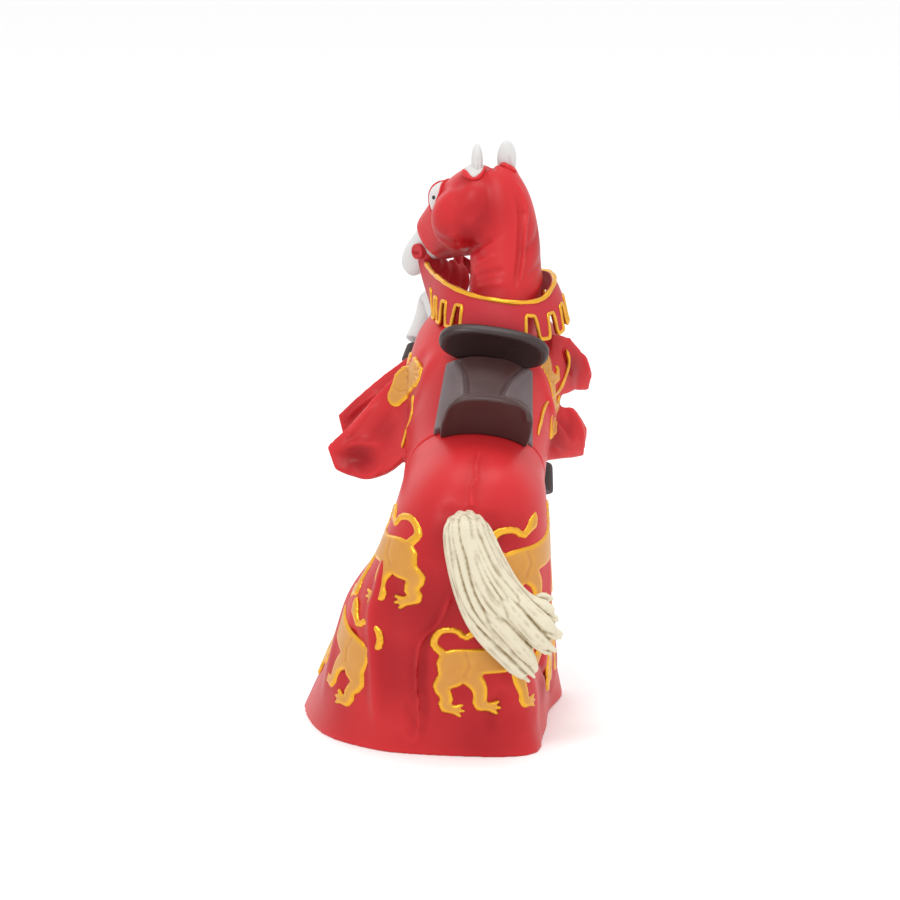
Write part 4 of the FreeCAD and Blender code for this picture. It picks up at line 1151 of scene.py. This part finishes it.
class Wire:
    """A shader socket that takes part in sums."""

    def __init__(self, socket):
        self.socket = socket

    def sum(self, operation, first, second):
        tree = self.socket.id_data
        node = tree.nodes.new("ShaderNodeMath")
        node.operation = operation
        plug(tree, node.inputs[0], first)
        plug(tree, node.inputs[1], second)
        return Wire(node.outputs[0])

    def __add__(self, other):
        return self.sum("ADD", self, other)

    def __radd__(self, other):
        return self.sum("ADD", other, self)

    def __sub__(self, other):
        return self.sum("SUBTRACT", self, other)

    def __rsub__(self, other):
        return self.sum("SUBTRACT", other, self)

    def __mul__(self, other):
        return self.sum("MULTIPLY", self, other)

    def __rmul__(self, other):
        return self.sum("MULTIPLY", other, self)

    def up_to(self, top):
        return self.sum("MINIMUM", self, top)

    def at_least(self, low):
        return self.sum("MAXIMUM", self, low)


class Paint:
    """One material and the nodes behind it."""

    def __init__(self, name, **uniform):
        self.material = bpy.data.materials.new(name)
        self.material.use_nodes = True
        self.tree = self.material.node_tree
        self.shader = self.tree.nodes["Principled BSDF"]
        for socket, value in uniform.items():
            title = socket.replace("_", " ").title().replace("Ior", "IOR")
            self.shader.inputs[title].default_value = value

    def node(self, kind, settings=None, sockets=None, out=0):
        """Adds any node: settings first, then the values or wires of its sockets."""
        node = self.tree.nodes.new(kind)
        for key, value in (settings or {}).items():
            setattr(node, key, value)
        for key, value in (sockets or {}).items():
            plug(self.tree, node.inputs[key], value)
        return Wire(node.outputs[out])

    def blend(self, low, high, share):
        """One colour turning into another as share goes from 0 to 1."""
        return self.node("ShaderNodeMix", {"data_type": "RGBA"}, {0: share, 6: low, 7: high}, out=2)

    def mark(self, name):
        """What was stored on the vertices under this name."""
        return self.node("ShaderNodeAttribute", {"attribute_name": name}, out=2)

    def spots(self, size, detail=3.0, rough=0.5):
        """Noise whose patches are about size mm across."""
        place = self.node("ShaderNodeTexCoord", out=3)
        return self.node("ShaderNodeTexNoise", {}, {"Vector": place, "Scale": 1000.0 / size, "Detail": detail,
                                                    "Roughness": rough})

    def finish(self, colour, rough, height=None, strength=0.3, reach=0.1):
        """Joins everything to the shader and returns the material."""
        plug(self.tree, self.shader.inputs["Base Color"], colour)
        plug(self.tree, self.shader.inputs["Roughness"], rough)
        if height is not None:
            bump = self.node("ShaderNodeBump", {},
                             {"Strength": strength, "Distance": reach * MM, "Height": height})
            plug(self.tree, self.shader.inputs["Normal"], bump)
        return self.material


print("paint tools ready")

# %% [markdown]
# ### Red satin, gold, hair, leather, horn and white
# The red is a satin lacquer: pink-red where it is lit, with deep crimson painted into the folds as
# shade. The gold is an ochre, with metallic yellow on its raised rims as a painted highlight and brown
# in its grooves as painted shade. The tail is cream with a tan wash and painted shade in its grooves.
# The saddle is one brown leather in tones painted for how the light falls, the hooves dark horn, and
# the coat plain white plastic; all of them have painted shade in their hollows.

# %% The finishes
def tint(r, g, b):
    """A screen colour from 0 to 255, as the linear colour that a shader needs."""
    return tuple(((c / 255 + 0.055) / 1.055) ** 2.4 if c > 10 else c / 3295 for c in (r, g, b)) + (1.0,)


def red_satin(name, lit, shaded_tint, rough):
    """Satin lacquer, with painted shade: darker in the folds and in the misted spots."""
    paint = Paint(name, specular_ior_level=0.24)
    hollow = paint.mark("hollow")
    drift = paint.spots(14.0)
    # painted shade: the deeper crimson goes into the folds and the misted spots
    share = (hollow * 0.6 + paint.mark("spray_and_shade") + 0.16 + (drift - 0.5) * 0.35).up_to(1.0).at_least(0.0)
    fine = paint.spots(0.35, 4.0)
    return paint.finish(paint.blend(lit, shaded_tint, share), rough + (drift - 0.5) * 0.12 + (fine - 0.5) * 0.06,
                        fine, 0.12, 0.05)


def gold_paint():
    """Ochre with painted shade of brown in the grooves and a painted highlight of metallic yellow on the
    ridges.
    """
    paint = Paint("gold_paint")
    # painted highlight: the raised rims turn a metallic yellow
    ridge = (paint.mark("hollow") * -1.6).up_to(1.0).at_least(0.0)
    drift = paint.spots(5.0)
    # painted shade: the carved grooves turn brown
    groove = ((paint.mark("hollow") - 0.25) * 1.2).up_to(0.6).at_least(0.0)
    ochre = paint.blend(paint.blend(tint(204, 146, 68), tint(188, 122, 44), drift), tint(116, 56, 30), groove)
    plug(paint.tree, paint.shader.inputs["Metallic"], ridge * 0.5 + 0.25)
    brush = paint.spots(0.5, 4.0)
    colour = paint.blend(ochre, tint(226, 166, 46), ridge)
    return paint.finish(colour, 0.42 - ridge * 0.14 + (brush - 0.5) * 0.15, brush, 0.25, 0.08)


def painted_shade_and_wash(name, bright, shade_and_wash_tint, rough, gain, spot=6.0, bump=0.3, offset=0.1, blotch=0.5):
    """A bright coat with painted shade in its hollows, and on the tail a tan wash there as well."""
    paint = Paint(name)
    drift = paint.spots(spot)
    # painted shade in the hollows, with a tan wash on the tail: the colour darkens where the surface sinks
    share = (paint.mark("hollow") * gain + offset + (drift - 0.5) * blotch).up_to(1.0).at_least(0.0)
    fine = paint.spots(0.4, 5.0)
    return paint.finish(paint.blend(bright, shade_and_wash_tint, share), rough + (fine - 0.5) * 0.1, fine, bump, 0.08)


def seat_leather():
    """Brown leather, lighter than the boards as painted light, with greyer side panels as a painted sheen, and
    paler on the ridges.
    """
    paint = Paint("seat_leather")
    drift = paint.spots(7.0)
    fine = paint.spots(0.6, 5.0)
    middle = paint.blend(tint(74, 42, 40), tint(56, 30, 29), drift)
    # painted sheen: the side panels get a greyer, lighter brown
    panels = paint.blend(tint(98, 82, 84), tint(84, 68, 70), drift)
    panel = paint.mark("side_panel")
    pale_ridges = (paint.mark("hollow") * -0.8).up_to(0.5).at_least(0.0)
    colour = paint.blend(paint.blend(middle, panels, panel), tint(120, 100, 98), pale_ridges)
    return paint.finish(colour, 0.44 + (fine - 0.5) * 0.2, fine, 0.35, 0.08)


FINISHES = {
    # each red gets its lit colour and a darker copy of it that is painted in as shade
    "red": red_satin("red_satin", tint(200, 42, 46), tint(148, 8, 18), 0.4),
    "rein": red_satin("rein_satin", tint(186, 46, 54), tint(140, 12, 22), 0.5),
    "gold": gold_paint(),
    "white": painted_shade_and_wash("white_coat", tint(206, 205, 203), tint(168, 166, 164), 0.5, 0.8, bump=0.1),
    "hair": painted_shade_and_wash("cream_hair", tint(212, 203, 178), tint(122, 98, 52), 0.65, 2.3, 3.2, 0.3, 0.14, 1.2),
    # the pommel, the cantle and the seat's middle are one brown leather, painted in three tones for light and
    # shade: darkest on the pommel, which faces down into shade, lighter on the cantle, lightest on the seat
    "board": painted_shade_and_wash("board_leather", tint(46, 26, 26), tint(24, 12, 12), 0.36, 0.7, bump=0.4),
    "cantle": painted_shade_and_wash("cantle_leather", tint(64, 38, 36), tint(40, 22, 22), 0.45, 0.7, bump=0.4),
    "seat": seat_leather(),
    "horn": painted_shade_and_wash("hoof_horn", tint(46, 26, 24), tint(24, 13, 12), 0.6, 0.8, bump=0.4),
    "pupil": painted_shade_and_wash("pupil_black", tint(16, 12, 12), tint(8, 6, 6), 0.3, 0.3, bump=0.05),
}
print("finishes:", sorted(FINISHES))

# %% Paint every piece and hide the CAD nodes that it stands for
def hand_over(piece, finish, nodes=(), rounds=10, depth=0.25):
    """Paints a piece, rides it on the toy's one body and hides the CAD nodes that it replaces."""
    mark_hollows(piece, rounds, depth)
    piece.data.materials.clear()
    piece.data.materials.append(FINISHES[finish])
    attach(piece, "root")
    if nodes:
        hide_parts(*nodes)


hand_over(rear_cloth, "red", ["rear_caparison"], 30, 0.8)
hand_over(front_cloth, "red", ["front_caparison"] + FLYING, 30, 0.8)
hand_over(neck_cloth, "red", ["neck_hood", "head_hood"], 30, 0.8)
hand_over(rein, "rein", ["rein_band"], 12, 0.6)
hand_over(fold, "rein", rounds=12, depth=0.4)
for cord in [top_cord] + edge_cords:
    hand_over(cord, "gold", rounds=4, depth=0.2)
for rim in red_rims:
    hand_over(rim, "red", rounds=4, depth=0.3)
for piping in pipings:
    hand_over(piping, "gold", rounds=4, depth=0.2)
hand_over(ear_patch, "white", rounds=4)
for boss, side in zip(bosses, ("left", "right")):
    hand_over(boss, "rein", [side + "_bit_boss"], 12, 0.3)
for lion in gold_lions:
    hand_over(lion, "gold", rounds=6, depth=0.16)
hand_over(muzzle, "white", ["head"], 12, 0.5)
for side, ear in ears.items():
    hand_over(ear, "white", [side + "_ear"], 10, 0.4)
for white, pupil in eyes:
    hand_over(white, "white", rounds=4)
    hand_over(pupil, "pupil", rounds=4)
for leg, name in zip(limbs, ("left_foreleg", "right_foreleg", "left_hind_leg", "right_hind_leg")):
    hand_over(leg, "white", [name], 12, 0.5)
for hoof, name in zip(hooves, ("left_fore_hoof", "right_fore_hoof", "left_hind_hoof", "right_hind_hoof")):
    hand_over(hoof, "horn", [name], 12, 0.4)
hand_over(pommel, "board", ["saddle_pommel"], 16, 0.4)
hand_over(cantle, "cantle", ["saddle_cantle"], 16, 0.4)
hand_over(seat, "seat", ["saddle_seat"], 12, 0.4)
hand_over(tail, "hair", ["tail"], 8, 0.22)
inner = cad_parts["body_core"]
inner.data.materials.clear()
inner.data.materials.append(FINISHES["white"])
print("pieces painted")

# %% [markdown]
# ## The stage
# A plain pale floor and soft lamps on all sides, as in a product studio, so that the toy throws
# only a faint contact shadow.

# %% Floor and lights
floor = make("floor", [(-3, -3, 0), (3, -3, 0), (3, 6, 0), (-3, 6, 0)], [(0, 1, 2, 3)])
pale = Paint("pale_floor")
pale.finish(tint(252, 252, 252), 0.9)
floor.data.materials.append(pale.material)


def soft_lamp(name, place, size, power):
    """A round soft box in watts, aimed at the middle of the toy."""
    lamp = bpy.data.lights.new(name, "AREA")
    lamp.shape = "DISK"
    lamp.size = size
    lamp.energy = power
    holder = bpy.data.objects.new(name, lamp)
    bpy.context.scene.collection.objects.link(holder)
    holder.location = place
    holder.rotation_euler = (Vector((0, 0, 0.06)) - Vector(place)).to_track_quat("-Z", "Y").to_euler()


soft_lamp("key_lamp", (-0.3, -0.7, 0.95), 0.35, 3.0)
soft_lamp("fill_lamp", (0.75, -0.6, 0.45), 0.7, 0.6)
soft_lamp("top_lamp", (0.1, 0.1, 1.1), 0.6, 2.2)
soft_lamp("rim_lamp", (-0.5, 0.8, 0.5), 0.6, 0.6)
world = bpy.data.worlds.new("studio")
world.use_nodes = True
world.node_tree.nodes["Background"].inputs["Color"].default_value = (1, 1, 1, 1)
world.node_tree.nodes["Background"].inputs["Strength"].default_value = 1.0
bpy.context.scene.world = world
bpy.context.scene.view_settings.view_transform = "Standard"
print("stage set")
